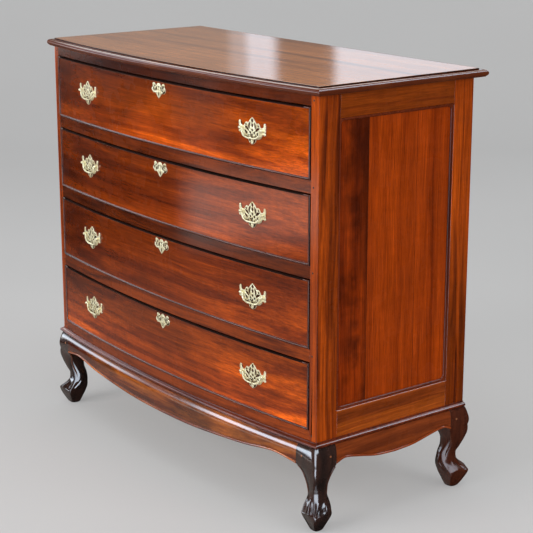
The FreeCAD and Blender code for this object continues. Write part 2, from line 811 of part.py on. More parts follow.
def drawer_box(number):
    """Two sides with tails in front, and the back between them over the bottom board."""
    low, high = side_limits(number)
    side = box(inner_half, drawer_half, shoulder_y, drawer_back, low, high)
    side = side.fuse(dovetail_tails(number)).removeSplitter().cut(drawer_bottom(number))
    back = box(-inner_half, inner_half, drawer_back - drawer_back_thickness, drawer_back,
               bottom_limits(number)[1], high)
    return both_sides(side) + [back]


def drawer_lock(number):
    """The lock case, with the channel that its bolt slides in and its keyhole."""
    high = front_limits(number)[1]
    channel = bolt_box(number, high - bolt_height - bolt_gap, high, bolt_gap)
    return lock_case_box(number).cut(channel)


def lock_bolt(number):
    """The bolt, drawn back flush with the drawer's top edge."""
    high = front_limits(number)[1]
    return bolt_box(number, high - bolt_height, high, 0.0)


# ---- brass in its own plane: x to the right, z up, the drawer's face at y = 0, outwards is -y -------
def chord_run(points, chords):
    """Points along a run: two points stay as they are, three are an arc in `chords` chords."""
    if len(points) == 2:
        return list(points)
    arc = Part.Arc(*[Vector(x, 0, z) for x, z in points])
    return [(point.x, point.z) for point in arc.toShape().discretize(chords + 1)]


def symmetric_plate(half_runs, thickness, chords=2):
    """A plate from the right half of its outline, given from the top down as runs of points."""
    half = [half_runs[0][0]]
    for run in half_runs:
        start = Vector(*run[0], 0)
        points = chord_run(run, chords)
        if Vector(*points[0], 0).distanceToPoint(start) > same_place:
            points.reverse()
        half += points[1:]
    outline = half + [(-x, z) for x, z in reversed(half[1:-1])]
    return along_y(outline, -thickness, 0)


def leaf_hole(x, z, half_length, half_width, tilt):
    """A pointed piercing, tilted from the upright by `tilt` degrees."""
    corners = [(x, z + half_length), (x + half_width, z), (x, z - half_length), (x - half_width, z)]
    hole = along_y(corners, -2 * plate_thickness, plate_thickness)
    hole.rotate(Vector(x, 0, z), Vector(0, 1, 0), tilt)
    return hole


pull_outline = [
    [(0, 30), (8, 25), (14, 17)],            # ogee peak
    [(14, 17), (22.5, 16.5), (25, 11)],      # small lobe
    [(25, 11), (35, 11)],
    [(35, 11), (38, 20), (43.5, 18)],        # horn
    [(43.5, 18), (45, 9), (42.5, 2)],
    [(42.5, 2), (40, -6.5)],                 # lower ear
    [(40, -6.5), (32, -7.5), (26, -13)],
    [(26, -13), (20, -17.5), (12, -18)],
    [(12, -18), (7.5, -26), (0, -30)],       # pendant
]
pull_leaves = [
    # x, z, half length, half width, tilt; each off-centre one also on the other side
    (0.0, 23.4, 2.2, 2.0, 0), (0.0, 14.5, 4.2, 1.7, 0), (7.8, 9.6, 6.6, 1.7, 14), (16.2, 6.0, 5.4, 1.8, 38),
    (19.8, -3.0, 4.8, 1.7, -24), (0.0, -4.0, 4.6, 3.0, 0), (0.0, -22.5, 4.2, 1.8, 0),
]


def side_by_side(entries):
    """Piercing entries with those off the centre line repeated on the left."""
    return [(side * entry[0], side, entry) for entry in entries for side in ((1, -1) if entry[0] else (1,))]


def pull_plate():
    """The pierced back plate of a pull, in its own plane."""
    holes = [leaf_hole(x, e[1], e[2], e[3], side * e[4]) for x, side, e in side_by_side(pull_leaves)]
    holes += [shank(side, -2 * plate_thickness, 3 * plate_thickness) for side in (1, -1)]
    return symmetric_plate(pull_outline, plate_thickness).cut(holes)


def shank(side, start, length):
    """A length of a post's square shank, in the plate's own plane, from y = start backwards."""
    return prism_along_y(side * post_spacing / 2, post_height_on_plate, shank_radius, start, length, 4)


def pull_post(side):
    """A post: a faceted knob with a cross bore for the bail, a square shank and its riveted nut."""
    x, z = side * post_spacing / 2, post_height_on_plate
    stations = [(neck_radius, plate_thickness), (knob_radius, knob_stand),
                (neck_radius, knob_stand + knob_radius)]
    knob = skin([[Vector(x + a, -stand, z + b) for a, b in regular_ring(radius, 6, 0.5)]
                 for radius, stand in stations])
    seat = drawer_front_thickness + (post_spacing / 2 + nut_radius) ** 2 / (2 * bow_radius)
    stem = shank(side, -plate_thickness, plate_thickness + seat)
    nut = prism_along_y(x, z, nut_radius, seat, nut_thickness, 4)
    bore_radius = (bail_pin_radius + pin_clearance) / math.cos(math.pi / 6)
    pin_end = side * (bail_half_width + pin_reach + bore_beyond_pin)
    bore = prism_along_x(-knob_stand, z, bore_radius, pin_end, -side * pin_reach)
    return knob.fuse([stem, nut]).cut(bore)


def bail():
    """The swinging handle: a bowed square bar, with a pin turned out at each end."""
    top = (bail_half_width, post_height_on_plate)
    low = post_height_on_plate - bail_drop
    knee = (bail_half_width - bail_corner_in, low + bail_corner_up)
    right = chord_run([top, (bail_half_width + bail_bulge, low + bail_drop / 2), knee], 3)
    bottom = chord_run([knee, (0, low), (-knee[0], knee[1])], 4)
    if right[0][1] < right[-1][1]:
        right.reverse()
    if bottom[0][0] < bottom[-1][0]:
        bottom.reverse()
    line = right + bottom[1:] + [(-x, z) for x, z in reversed(right[:-1])]
    rings = []
    for index, (x, z) in enumerate(line):
        before, after = line[max(index - 1, 0)], line[min(index + 1, len(line) - 1)]
        run = Vector(after[0] - before[0], 0, after[1] - before[1]).normalize()
        across = Vector(-run.z, 0, run.x)
        rings.append([Vector(x, -knob_stand, z) + across * a + Vector(0, b, 0)
                      for a, b in regular_ring(bail_wire_radius, 4, 0.5)])
    pins = [prism_along_x(-knob_stand, post_height_on_plate, bail_pin_radius, side * bail_half_width,
                          side * pin_reach) for side in (1, -1)]
    return skin(rings).fuse(pins)


escutcheon_outline = [
    [(0, 0), (6, -1.3), (9, -5)],
    [(9, -5), (19, -0.2), (26, -6)],
    [(26, -6), (29.5, -17.5), (23, -23)],
    [(23, -23), (13, -24.5), (6, -31)],
    [(6, -31), (0, -36)],
]
escutcheon_leaves = [(19.5, -8.0, 1.8, 1.6, 0), (10.5, -15.5, 4.6, 1.3, -24), (0.0, -28.5, 2.8, 1.1, 0)]


def escutcheon_plate():
    """The pierced escutcheon in its own plane, its peak at z = 0."""
    holes = [leaf_hole(x, e[1], e[2], e[3], side * e[4]) for x, side, e in side_by_side(escutcheon_leaves)]
    half = keyhole_slot_width / 2
    slot = box(-half, half, -2 * plate_thickness, plate_thickness, -keyhole_drop - keyhole_slot_length,
               -keyhole_drop)
    eye = prism_along_y(0, -keyhole_drop, keyhole_radius, -2 * plate_thickness, 3 * plate_thickness)
    holes.append(eye.fuse(slot))
    return symmetric_plate(escutcheon_outline, escutcheon_thickness).cut(holes)


# ---- brass put in place --------------------------------------------------------------------------
def pull_places(number):
    """Placements of a drawer's two pulls, square to the bow, left one first."""
    z = opening_z(number) + drawer_opening_height / 2 + pull_above_middle
    angle = math.degrees(math.asin(pull_place_x / bow_radius))
    return [Placement(Vector(side * pull_place_x, bow_y(pull_place_x), z),
                      Rotation(Vector(0, 0, 1), side * angle)) for side in (-1, 1)]


def placed(shape, place):
    """A copy of the shape, moved to a placement."""
    copy = shape.copy()
    copy.Placement = place.multiply(copy.Placement)
    return copy


def pull_shanks(place):
    """What a pull's posts drill out of the drawer front."""
    return [placed(shank(side, -1, drawer_front_thickness + 2), place) for side in (1, -1)]


def pull_plates(number):
    """Both pulls' plates and posts."""
    pieces = []
    for place in pull_places(number):
        pieces.append(placed(pull_plate(), place))
        pieces += [placed(pull_post(side), place) for side in (1, -1)]
    return pieces


def escutcheon(number):
    """The escutcheon under the drawer front's top edge."""
    top = front_limits(number)[1] - cockbead_width - escutcheon_below_top
    return escutcheon_plate().translated(Vector(0, bow_y(0), top))


# ---- output --------------------------------------------------------------------------------------
def write(name, shapes):
    """Write one node's STEP file from one shape or a list of separate solids."""
    if isinstance(shapes, list):
        solids = [solid for shape in shapes for solid in shape.Solids]
    else:
        solids = shapes.Solids
    for solid in solids:
        if not solid.isValid():
            raise ValueError(name + " has a solid that isn't valid")
    shape = solids[0] if len(solids) == 1 else Part.makeCompound(solids)
    shape.exportStep(os.path.join("parts", name + ".step"))
    print(f"{name:24s} {len(solids):3d} solids {sum(s.Volume for s in solids) / 1000:10.1f} cm3")


def carcass():
    """Every piece of the case and its base."""
    write("top_board", top_board())
    all_pegs = []
    for peg in leg_pegs() + post_pegs():
        all_pegs += both_sides(peg)
    right_front = front_post().cut(post_pegs())
    write("right_front_post", right_front)
    write("left_front_post", mirrored_x(right_front))
    write("right_back_post", back_post())
    write("left_back_post", mirrored_x(back_post()))
    write("front_rails", [rail.cut(all_pegs) for rail in front_rails()])
    write("side_rails", side_rails())
    write("side_panels", side_panels())
    write("back_boards", back_boards())
    write("drawer_runners", drawer_runners())
    write("drawer_stops", drawer_stops())
    write("base_bead", base_bead())
    write("front_apron", front_apron())
    write("side_aprons", side_aprons())
    write("back_apron", back_apron())
    write("front_legs", legs(True))
    write("back_legs", legs(False))
    write("corner_blocks", corner_blocks())
    write("pegs", all_pegs)


def drawer(number):
    """Every piece of one drawer."""
    name = f"drawer_{number}_"
    write(name + "front", drawer_front(number))
    write(name + "cockbead", cockbead(number))
    write(name + "box", drawer_box(number))
    write(name + "bottom", drawer_bottom(number))
    write(name + "lock", drawer_lock(number))
    write(name + "lock_bolt", lock_bolt(number))
    write(name + "escutcheon", escutcheon(number))
    write(name + "pull_plates", pull_plates(number))
    for side, place in zip(("left", "right"), pull_places(number)):
        write(f"{name}{side}_bail", placed(bail(), place))


def main():
    """Build the whole chest into parts/."""
    os.makedirs("parts", exist_ok=True)
    carcass()
    for number in range(1, drawer_count + 1):
        drawer(number)


main()
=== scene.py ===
"""Dresses the bow front chest of drawers: timber, cabriole legs, cockbeads and pierced brass, in metres."""

import json
import logging
import math
from dataclasses import dataclass, field
from enum import Enum
from typing import Callable, Optional, Sequence

import bmesh
import bpy
import numpy as np
from mathutils import Matrix, Vector

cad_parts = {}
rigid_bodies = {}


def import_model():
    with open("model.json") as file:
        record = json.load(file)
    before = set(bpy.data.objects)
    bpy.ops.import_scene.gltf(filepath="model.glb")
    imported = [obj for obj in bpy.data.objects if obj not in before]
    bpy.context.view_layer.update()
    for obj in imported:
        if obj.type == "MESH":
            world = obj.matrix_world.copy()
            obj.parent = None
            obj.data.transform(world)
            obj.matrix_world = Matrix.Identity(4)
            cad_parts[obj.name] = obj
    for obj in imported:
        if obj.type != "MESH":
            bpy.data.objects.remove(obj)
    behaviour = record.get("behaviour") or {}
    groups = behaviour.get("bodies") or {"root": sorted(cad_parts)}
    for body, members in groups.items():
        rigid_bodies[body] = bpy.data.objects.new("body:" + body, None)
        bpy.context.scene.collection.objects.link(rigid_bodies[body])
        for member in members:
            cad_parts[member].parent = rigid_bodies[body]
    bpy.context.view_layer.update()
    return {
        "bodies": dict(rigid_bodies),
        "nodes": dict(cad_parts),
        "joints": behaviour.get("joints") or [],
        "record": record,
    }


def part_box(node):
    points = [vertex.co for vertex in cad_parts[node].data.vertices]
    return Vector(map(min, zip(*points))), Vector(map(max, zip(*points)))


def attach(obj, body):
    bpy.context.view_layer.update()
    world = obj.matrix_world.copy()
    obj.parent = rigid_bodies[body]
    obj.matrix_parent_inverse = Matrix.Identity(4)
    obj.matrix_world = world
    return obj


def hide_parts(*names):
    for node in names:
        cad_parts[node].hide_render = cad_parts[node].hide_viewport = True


LOG = logging.getLogger("chest")
MM = 0.001
ROOT_HALF = math.sqrt(0.5)

Colour = tuple[float, float, float]
Array = np.ndarray
Shell = tuple[Array, list[Sequence[int]]]
Socket = bpy.types.NodeSocket


# ---- the plan curve every piece follows ------------------------------------------------------------
@dataclass(frozen=True)
class BowPlan:
    """Plan of the carcass: straight sides and back and a front that is one arc."""

    half: float = 542 * MM
    rise: float = 36.5 * MM
    corner_y: float = -213.5 * MM
    depth: float = 447 * MM

    @property
    def radius(self) -> float:
        """Radius of the front's arc."""
        return (self.half ** 2 + self.rise ** 2) / (2 * self.rise)

    @property
    def centre_y(self) -> float:
        """Y of the arc's centre."""
        return self.corner_y - self.rise + self.radius

    @property
    def back(self) -> float:
        """Y of the carcass's back."""
        return self.corner_y + self.depth

    def y(self, x: Array, out: Array = 0.0) -> Array:
        """Y of the curve parallel to the arc: centre less the root of (radius + out) squared less x squared.

        Args:
            x: places across the front.
            out: how far the curve stands before the carcass.

        Returns:
            Y for each x.
        """
        return self.centre_y - np.sqrt((self.radius + out) ** 2 - np.square(x))

    def y_at(self, x: float, out: float = 0.0) -> float:
        """Y of the curve at one place."""
        return float(self.y(np.array([x]), out)[0])

    def points(self, x: Array, z: Array, out: Array = 0.0, ahead: Array = 0.0) -> Array:
        """Points across the front: x, y on the curve moved ahead, and z."""
        return np.stack([x, self.y(x, out) - ahead, np.broadcast_to(z, x.shape)], -1)


PLAN = BowPlan()


@dataclass(frozen=True)
class DrawerPlan:
    """Heights of the drawers' openings, evenly spaced; drawer 1 is at the top."""

    count: int = 4
    lowest: float = 238 * MM
    pitch: float = 187 * MM

    def foot(self, number: int) -> float:
        """Height of an opening's lower edge."""
        return self.lowest + (self.count - number) * self.pitch


DRAWERS = DrawerPlan()


class Grain(Enum):
    """The axis that a piece's grain runs along."""

    X = 0
    Y = 1
    Z = 2


# ---- building meshes -------------------------------------------------------------------------------
def unit(v: Array) -> Array:
    """Vectors scaled to length one, row by row."""
    return v / np.maximum(np.linalg.norm(v, axis=-1, keepdims=True), 1e-12)


def through(keys: Sequence[float], values: Sequence[float], at: Array) -> Array:
    """A smooth curve through keyed values: cubic Hermite pieces whose slopes are the mean of their chords.

    Args:
        keys: rising places.
        values: the value at each place.
        at: where to read the curve.

    Returns:
        The curve's value at each place of `at`.
    """
    k, v = np.asarray(keys, float), np.asarray(values, float)
    chord = np.diff(v) / np.diff(k)
    slope = np.concatenate([chord[:1], (chord[:-1] + chord[1:]) / 2, chord[-1:]])
    slope[1:-1] = np.where(chord[:-1] * chord[1:] <= 0, 0.0, slope[1:-1])
    i = np.clip(np.searchsorted(k, at, side="right") - 1, 0, len(k) - 2)
    h = k[i + 1] - k[i]
    t = (at - k[i]) / h
    return ((2 * t ** 3 - 3 * t ** 2 + 1) * v[i] + (t ** 3 - 2 * t ** 2 + t) * h * slope[i]
            + (3 * t ** 2 - 2 * t ** 3) * v[i + 1] + (t ** 3 - t ** 2) * h * slope[i + 1])


def volume(points: Array, faces: Sequence[Sequence[int]]) -> float:
    """Signed volume inside faces: the sum of their corner fans' triple products over six.

    Args:
        points: vertices, one row each.
        faces: vertex numbers of each face.

    Returns:
        The volume, negative when the faces look inwards.
    """
    total = 0.0
    for size in {len(f) for f in faces}:
        index = np.array([f for f in faces if len(f) == size])
        corner = points[index]
        for k in range(1, size - 1):
            total += np.einsum("ij,ij->i", corner[:, 0], np.cross(corner[:, k], corner[:, k + 1])).sum() / 6
    return total


def solid(name: str, points: Array, faces: list[Sequence[int]], tone: float = 0.5,
          sharp: float = 32.0) -> bpy.types.Object:
    """A closed mesh object with outward faces, smooth below the given angle.

    Args:
        name: the object's name.
        points: vertices, one row each.
        faces: vertex numbers of each face.
        tone: the board's own tone, 0 dark to 1 light.
        sharp: edges that turn by more degrees than this stay sharp.

    Returns:
        The new object, at the origin.
    """
    if volume(points, faces) < 0:
        faces = [list(reversed(f)) for f in faces]
    mesh = bpy.data.meshes.new(name)
    mesh.from_pydata(points.tolist(), [], [list(map(int, f)) for f in faces])
    mesh.update()
    return finish_mesh(name, mesh, tone, sharp)


def finish_mesh(name: str, mesh: bpy.types.Mesh, tone: float, sharp: float) -> bpy.types.Object:
    """Shades a mesh, gives it a tone attribute if it has none, and links it as an object.

    Args:
        name: the object's name.
        mesh: its mesh.
        tone: the tone of all its vertices.
        sharp: edges that turn by more degrees than this stay sharp.

    Returns:
        The object.
    """
    mesh.polygons.foreach_set("use_smooth", np.ones(len(mesh.polygons), bool))
    mesh.set_sharp_from_angle(angle=math.radians(sharp))
    if "tone" not in mesh.attributes:
        layer = mesh.attributes.new("tone", "FLOAT", "POINT")
        layer.data.foreach_set("value", np.full(len(mesh.vertices), tone, np.float32))
    obj = bpy.data.objects.new(name, mesh)
    bpy.context.scene.collection.objects.link(obj)
    return obj


def set_tones(obj: bpy.types.Object, tones: Sequence[float]) -> None:
    """Gives each vertex of an object its own tone."""
    obj.data.attributes["tone"].data.foreach_set("value", np.asarray(tones, np.float32))


def lattice(rows: int, columns: int, close_rows: bool, close_columns: bool) -> list[list[int]]:
    """Quads of a grid of rows by columns of vertices, joined round where asked.

    Args:
        rows: number of rows.
        columns: vertices in each row.
        close_rows: whether the last row joins the first.
        close_columns: whether each row joins its own start.

    Returns:
        Vertex numbers of each quad.
    """
    r = np.arange(rows if close_rows else rows - 1)[:, None]
    c = np.arange(columns if close_columns else columns - 1)[None, :]
    r2, c2 = (r + 1) % rows, (c + 1) % columns
    a, b = r * columns + c, r * columns + c2
    d, e = r2 * columns + c, r2 * columns + c2
    return np.stack([a, b, e, d], axis=-1).reshape(-1, 4).tolist()


def sleeve(grid: Array, ring: bool = False) -> Shell:
    """Points and faces of a grid whose rows are closed loops.

    Args:
        grid: rows by columns by 3; each row is one closed loop.
        ring: True joins the last row to the first; False closes both ends with a flat face.

    Returns:
        Points and faces.
    """
    rows, columns, _ = grid.shape
    faces = lattice(rows, columns, ring, True)
    if not ring:
        last = (rows - 1) * columns
        faces += [list(range(columns)), list(range(last, last + columns))]
    return grid.reshape(-1, 3), faces


def merged(parts: Sequence[Shell]) -> Shell:
    """Several closed shells as one set of points and faces, each turned outwards first.

    Args:
        parts: the shells.

    Returns:
        Points and faces.
    """
    points, faces, start = [], [], 0
    for p, f in parts:
        f = f if volume(p, f) > 0 else [list(reversed(x)) for x in f]
        points.append(p)
        faces += [[i + start for i in x] for x in f]
        start += len(p)
    return np.concatenate(points), faces


def soften(obj: bpy.types.Object, width: float) -> bpy.types.Object:
    """Rounds an object's hard edges, as a light sanding does.

    Args:
        obj: the object.
        width: how far they are rounded.

    Returns:
        The same object.
    """
    mod = obj.modifiers.new("worn arrises", "BEVEL")
    mod.width = width
    mod.segments = 2
    mod.limit_method = "ANGLE"
    mod.angle_limit = math.radians(40)
    mod.harden_normals = True
    mod.miter_outer = "MITER_ARC"
    return obj


def board_numbers(mesh: bpy.types.Mesh) -> Array:
    """For each vertex, the lowest vertex number that it is joined to: one number for each board.

    Args:
        mesh: boards that do not share vertices.

    Returns:
        One number for each vertex.
    """
    edges = np.zeros(len(mesh.edges) * 2, np.int64)
    mesh.edges.foreach_get("vertices", edges)
    a, b = edges.reshape(-1, 2).T
    label = np.arange(len(mesh.vertices))
    while True:
        low = np.minimum(label[a], label[b])
        fresh = label.copy()
        np.minimum.at(fresh, a, low)
        np.minimum.at(fresh, b, low)
        if (fresh == label).all():
            return label
        label = fresh


def coordinates(mesh: bpy.types.Mesh) -> Array:
    """All vertices of a mesh as an array.

    Args:
        mesh: the mesh.

    Returns:
        Their places, one row each.
    """
    co = np.zeros(len(mesh.vertices) * 3, np.float32)
    mesh.vertices.foreach_get("co", co)
    return co.reshape(-1, 3)


def draw_bow(work: bmesh.types.BMesh, depths: Sequence[float], step: float = 15 * MM,
             reach: float = 0.35 * MM) -> None:
    """Cuts a bowed board into upright slices and puts the cuts' points on the true arc.

    Args:
        work: the board.
        depths: offsets of its bowed faces from the carcass's arc.
        step: width of a slice.
        reach: points this near an offset arc belong to it.
    """
    count = int(PLAN.half / step)
    for k in range(-count, count + 1):
        geometry = work.verts[:] + work.edges[:] + work.faces[:]
        bmesh.ops.bisect_plane(work, geom=geometry, dist=1e-6, plane_co=(k * step, 0, 0), plane_no=(1, 0, 0))
    for vertex in work.verts:
        x, y = vertex.co.x, vertex.co.y
        out = math.hypot(x, y - PLAN.centre_y) - PLAN.radius
        for depth in depths:
            if abs(out - depth) < reach:
                vertex.co.y = PLAN.centre_y - math.sqrt((PLAN.radius + depth) ** 2 - x * x)


def timber_from(node: bpy.types.Object, name: str, width: float,
                tone_of: Optional[Callable[[Array], float]] = None,
                bow_depths: Sequence[float] = ()) -> bpy.types.Object:
    """A merged copy of a frame node with softened arrises and a tone for each of its boards.

    Args:
        node: the frame's object.
        name: the copy's name.
        width: how far its arrises are rounded.
        tone_of: gives a board's tone from its middle; by default it comes from the middle's place.
        bow_depths: offsets of its bowed faces, drawn true.

    Returns:
        The copy.
    """
    mesh = node.data.copy()
    mesh.materials.clear()
    for stale in ("custom_normal", "sharp_edge", "sharp_face"):
        if stale in mesh.attributes:
            mesh.attributes.remove(mesh.attributes[stale])
    work = bmesh.new()
    work.from_mesh(mesh)
    bmesh.ops.remove_doubles(work, verts=work.verts, dist=2e-6)
    bmesh.ops.dissolve_limit(work, angle_limit=math.radians(0.25), verts=work.verts, edges=work.edges)
    if bow_depths:
        draw_bow(work, bow_depths)
    work.to_mesh(mesh)
    work.free()
    label, co = board_numbers(mesh), coordinates(mesh)
    tones = np.zeros(len(co), np.float32)
    for board in np.unique(label):
        members = label == board
        middle = (co[members].max(0) + co[members].min(0)) / 2
        own = abs(math.sin(middle @ np.array([37.1, 91.7, 53.3])))
        tones[members] = own if tone_of is None else tone_of(middle)
    obj = finish_mesh(name, mesh, 0.5, 32.0)
    set_tones(obj, tones)
    return soften(obj, width)


# ---- finishes --------------------------------------------------------------------------------------
class Graph:
    """The node tree of a material or a world, with short calls to fill it."""

    def __init__(self, owner: bpy.types.Material | bpy.types.World) -> None:
        """Empties the owner's tree.

        Args:
            owner: the material or world.
        """
        self.owner = owner
        owner.use_nodes = True
        self.tree = owner.node_tree
        self.tree.nodes.clear()

    def add(self, kind: str, inputs: Optional[dict] = None, **settings: object) -> bpy.types.Node:
        """Adds a node; inputs that are sockets are linked and others are set.

        Args:
            kind: the node's type without its ShaderNode prefix.
            inputs: socket name or number to value or source socket.
            settings: the node's own properties.

        Returns:
            The node.
        """
        node = self.tree.nodes.new("ShaderNode" + kind)
        for key, value in settings.items():
            setattr(node, key, value)
        for key, value in (inputs or {}).items():
            if isinstance(value, bpy.types.NodeSocket):
                self.tree.links.new(value, node.inputs[key])
            else:
                node.inputs[key].default_value = value
        return node

    def math(self, operation: str, a: object, b: object = 0.0, clamp: bool = False) -> Socket:
        """One step of arithmetic on two numbers."""
        return self.add("Math", {0: a, 1: b}, operation=operation, use_clamp=clamp).outputs[0]

    def times(self, a: object, b: object) -> Socket:
        """The product of two numbers."""
        return self.math("MULTIPLY", a, b)

    def plus(self, a: object, b: object) -> Socket:
        """The sum of two numbers."""
        return self.math("ADD", a, b)

    def less(self, a: object, b: object) -> Socket:
        """The first number less the second."""
        return self.math("SUBTRACT", a, b)

    def vector(self, operation: str, a: object, b: object) -> Socket:
        """One step of arithmetic on two vectors."""
        return self.add("VectorMath", {0: a, 1: b}, operation=operation).outputs[0]

    def scaled(self, vector: object, by: object) -> Socket:
        """A vector times a number."""
        return self.add("VectorMath", {0: vector, "Scale": by}, operation="SCALE").outputs[0]

    def along(self, vector: object, direction: Sequence[float]) -> Socket:
        """How far a vector reaches in a direction."""
        return self.add("VectorMath", {0: vector, 1: tuple(direction)},
                        operation="DOT_PRODUCT").outputs["Value"]

    def axis(self, vector: Socket, number: int) -> Socket:
        """One coordinate of a vector."""
        return self.add("SeparateXYZ", {0: vector}).outputs[number]

    def grey(self, level: Socket) -> Socket:
        """A colour with the same level in all three channels."""
        return self.add("CombineXYZ", {0: level, 1: level, 2: level}).outputs[0]

    def noise(self, at: Socket, scale: float, detail: float = 2.0, roughness: float = 0.5,
              distortion: float = 0.0) -> Socket:
        """Smooth noise between 0 and 1."""
        return self.add("TexNoise", {"Vector": at, "Scale": scale, "Detail": detail, "Roughness": roughness,
                                     "Distortion": distortion}).outputs["Fac"]

    def fit(self, value: Socket, low: float, high: float, to_low: float = 0.0,
            to_high: float = 1.0) -> Socket:
        """Maps a range onto another, held at its ends."""
        return self.add("MapRange", {"Value": value, "From Min": low, "From Max": high, "To Min": to_low,
                                     "To Max": to_high}).outputs["Result"]

    def inside(self, value: Socket, low: float, high: float, soft: float) -> Socket:
        """1 between two places and 0 beyond them, with soft ends."""
        return self.times(self.fit(value, low - soft, low + soft),
                          self.fit(value, high - soft, high + soft, 1.0, 0.0))

    def ramp(self, value: Socket, stops: Sequence[tuple[float, Colour]]) -> Socket:
        """A colour from a row of (place, colour) stops.

        Args:
            value: the number that picks the colour.
            stops: places, rising from 0 to 1, and their colours.

        Returns:
            The colour.
        """
        node = self.add("ValToRGB", {"Fac": value})
        elements = node.color_ramp.elements
        while len(elements) < len(stops):
            elements.new(0.5)
        for element, (place, colour) in zip(elements, stops):
            element.position = place
            element.color = (*colour, 1.0)
        return node.outputs["Color"]

    def mix(self, share: object, a: object, b: object, blend: str = "MIX") -> Socket:
        """Mixes two colours.

        Args:
            share: share of the second colour.
            a: the first colour.
            b: the second colour.
            blend: how they mix.

        Returns:
            The colour.
        """
        node = self.add("Mix", data_type="RGBA", blend_type=blend)
        for key, value in ((0, share), (6, a), (7, b)):
            if isinstance(value, bpy.types.NodeSocket):
                self.tree.links.new(value, node.inputs[key])
            else:
                node.inputs[key].default_value = value if key == 0 else (*value, 1.0)
        return node.outputs[2]

    def tinted(self, colour: object, tint: object) -> Socket:
        """One colour times another."""
        return self.mix(1.0, colour, tint, "MULTIPLY")

    def output(self, shader: bpy.types.Node) -> bpy.types.Material | bpy.types.World:
        """Links the shader to the tree's output and returns the tree's owner.

        Args:
            shader: the last node.

        Returns:
            The material or world.
        """
        kind = "OutputWorld" if isinstance(self.owner, bpy.types.World) else "OutputMaterial"
        self.tree.links.new(shader.outputs[0], self.add(kind).inputs["Surface"])
        return self.owner


def stretched(along: float, across: float, grain: Grain) -> tuple[float, float, float]:
    """Scales for the three axes: one along the grain and one across it.

    Args:
        along: scale along the grain.
        across: scale across it.
        grain: the axis along the grain.

    Returns:
        The scales.
    """
    scale = [across] * 3
    scale[grain.value] = along
    return tuple(scale)


class WoodGraph(Graph):
    """A timber's nodes: where a point lies, its board's tone, and grain lines that wander."""

    def __init__(self, owner: bpy.types.Material, grain: Grain, warp: float, shift: Colour) -> None:
        """Reads the point's place, moves it by its board's tone and bends it along the grain.

        Args:
            owner: the material.
            grain: the axis along the grain.
            warp: how far the grain lines wander.
            shift: moves the whole figure.
        """
        super().__init__(owner)
        self.grain = grain
        self.here = self.add("TexCoord").outputs["Object"]
        self.tone = self.add("Attribute", attribute_name="tone").outputs["Fac"]
        own = self.scaled((3.7, 2.9, 4.3), self.tone)
        self.place = self.vector("ADD", self.vector("ADD", self.here, own), shift)
        bends = self.vector("MULTIPLY", self.place, stretched(1.3, 3.6, grain))
        drift = self.add("TexNoise", {"Vector": bends, "Scale": 1.0, "Detail": 2.0}).outputs["Color"]
        drift = self.vector("SUBTRACT", drift, (0.5, 0.5, 0.5))
        self.flowing = self.add("VectorMath", {0: drift, 1: (warp,) * 3, 2: self.place},
                                operation="MULTIPLY_ADD").outputs[0]

    def drawn(self, along: float, across: float, *look: float, straight: bool = False) -> Socket:
        """Noise drawn out along the grain.

        Args:
            along: scale along the grain.
            across: scale across it.
            look: the noise's scale, detail, roughness and distortion.
            straight: True keeps the grain lines from wandering.

        Returns:
            The noise.
        """
        at = self.place if straight else self.flowing
        return self.noise(self.vector("MULTIPLY", at, stretched(along, across, self.grain)), *look)


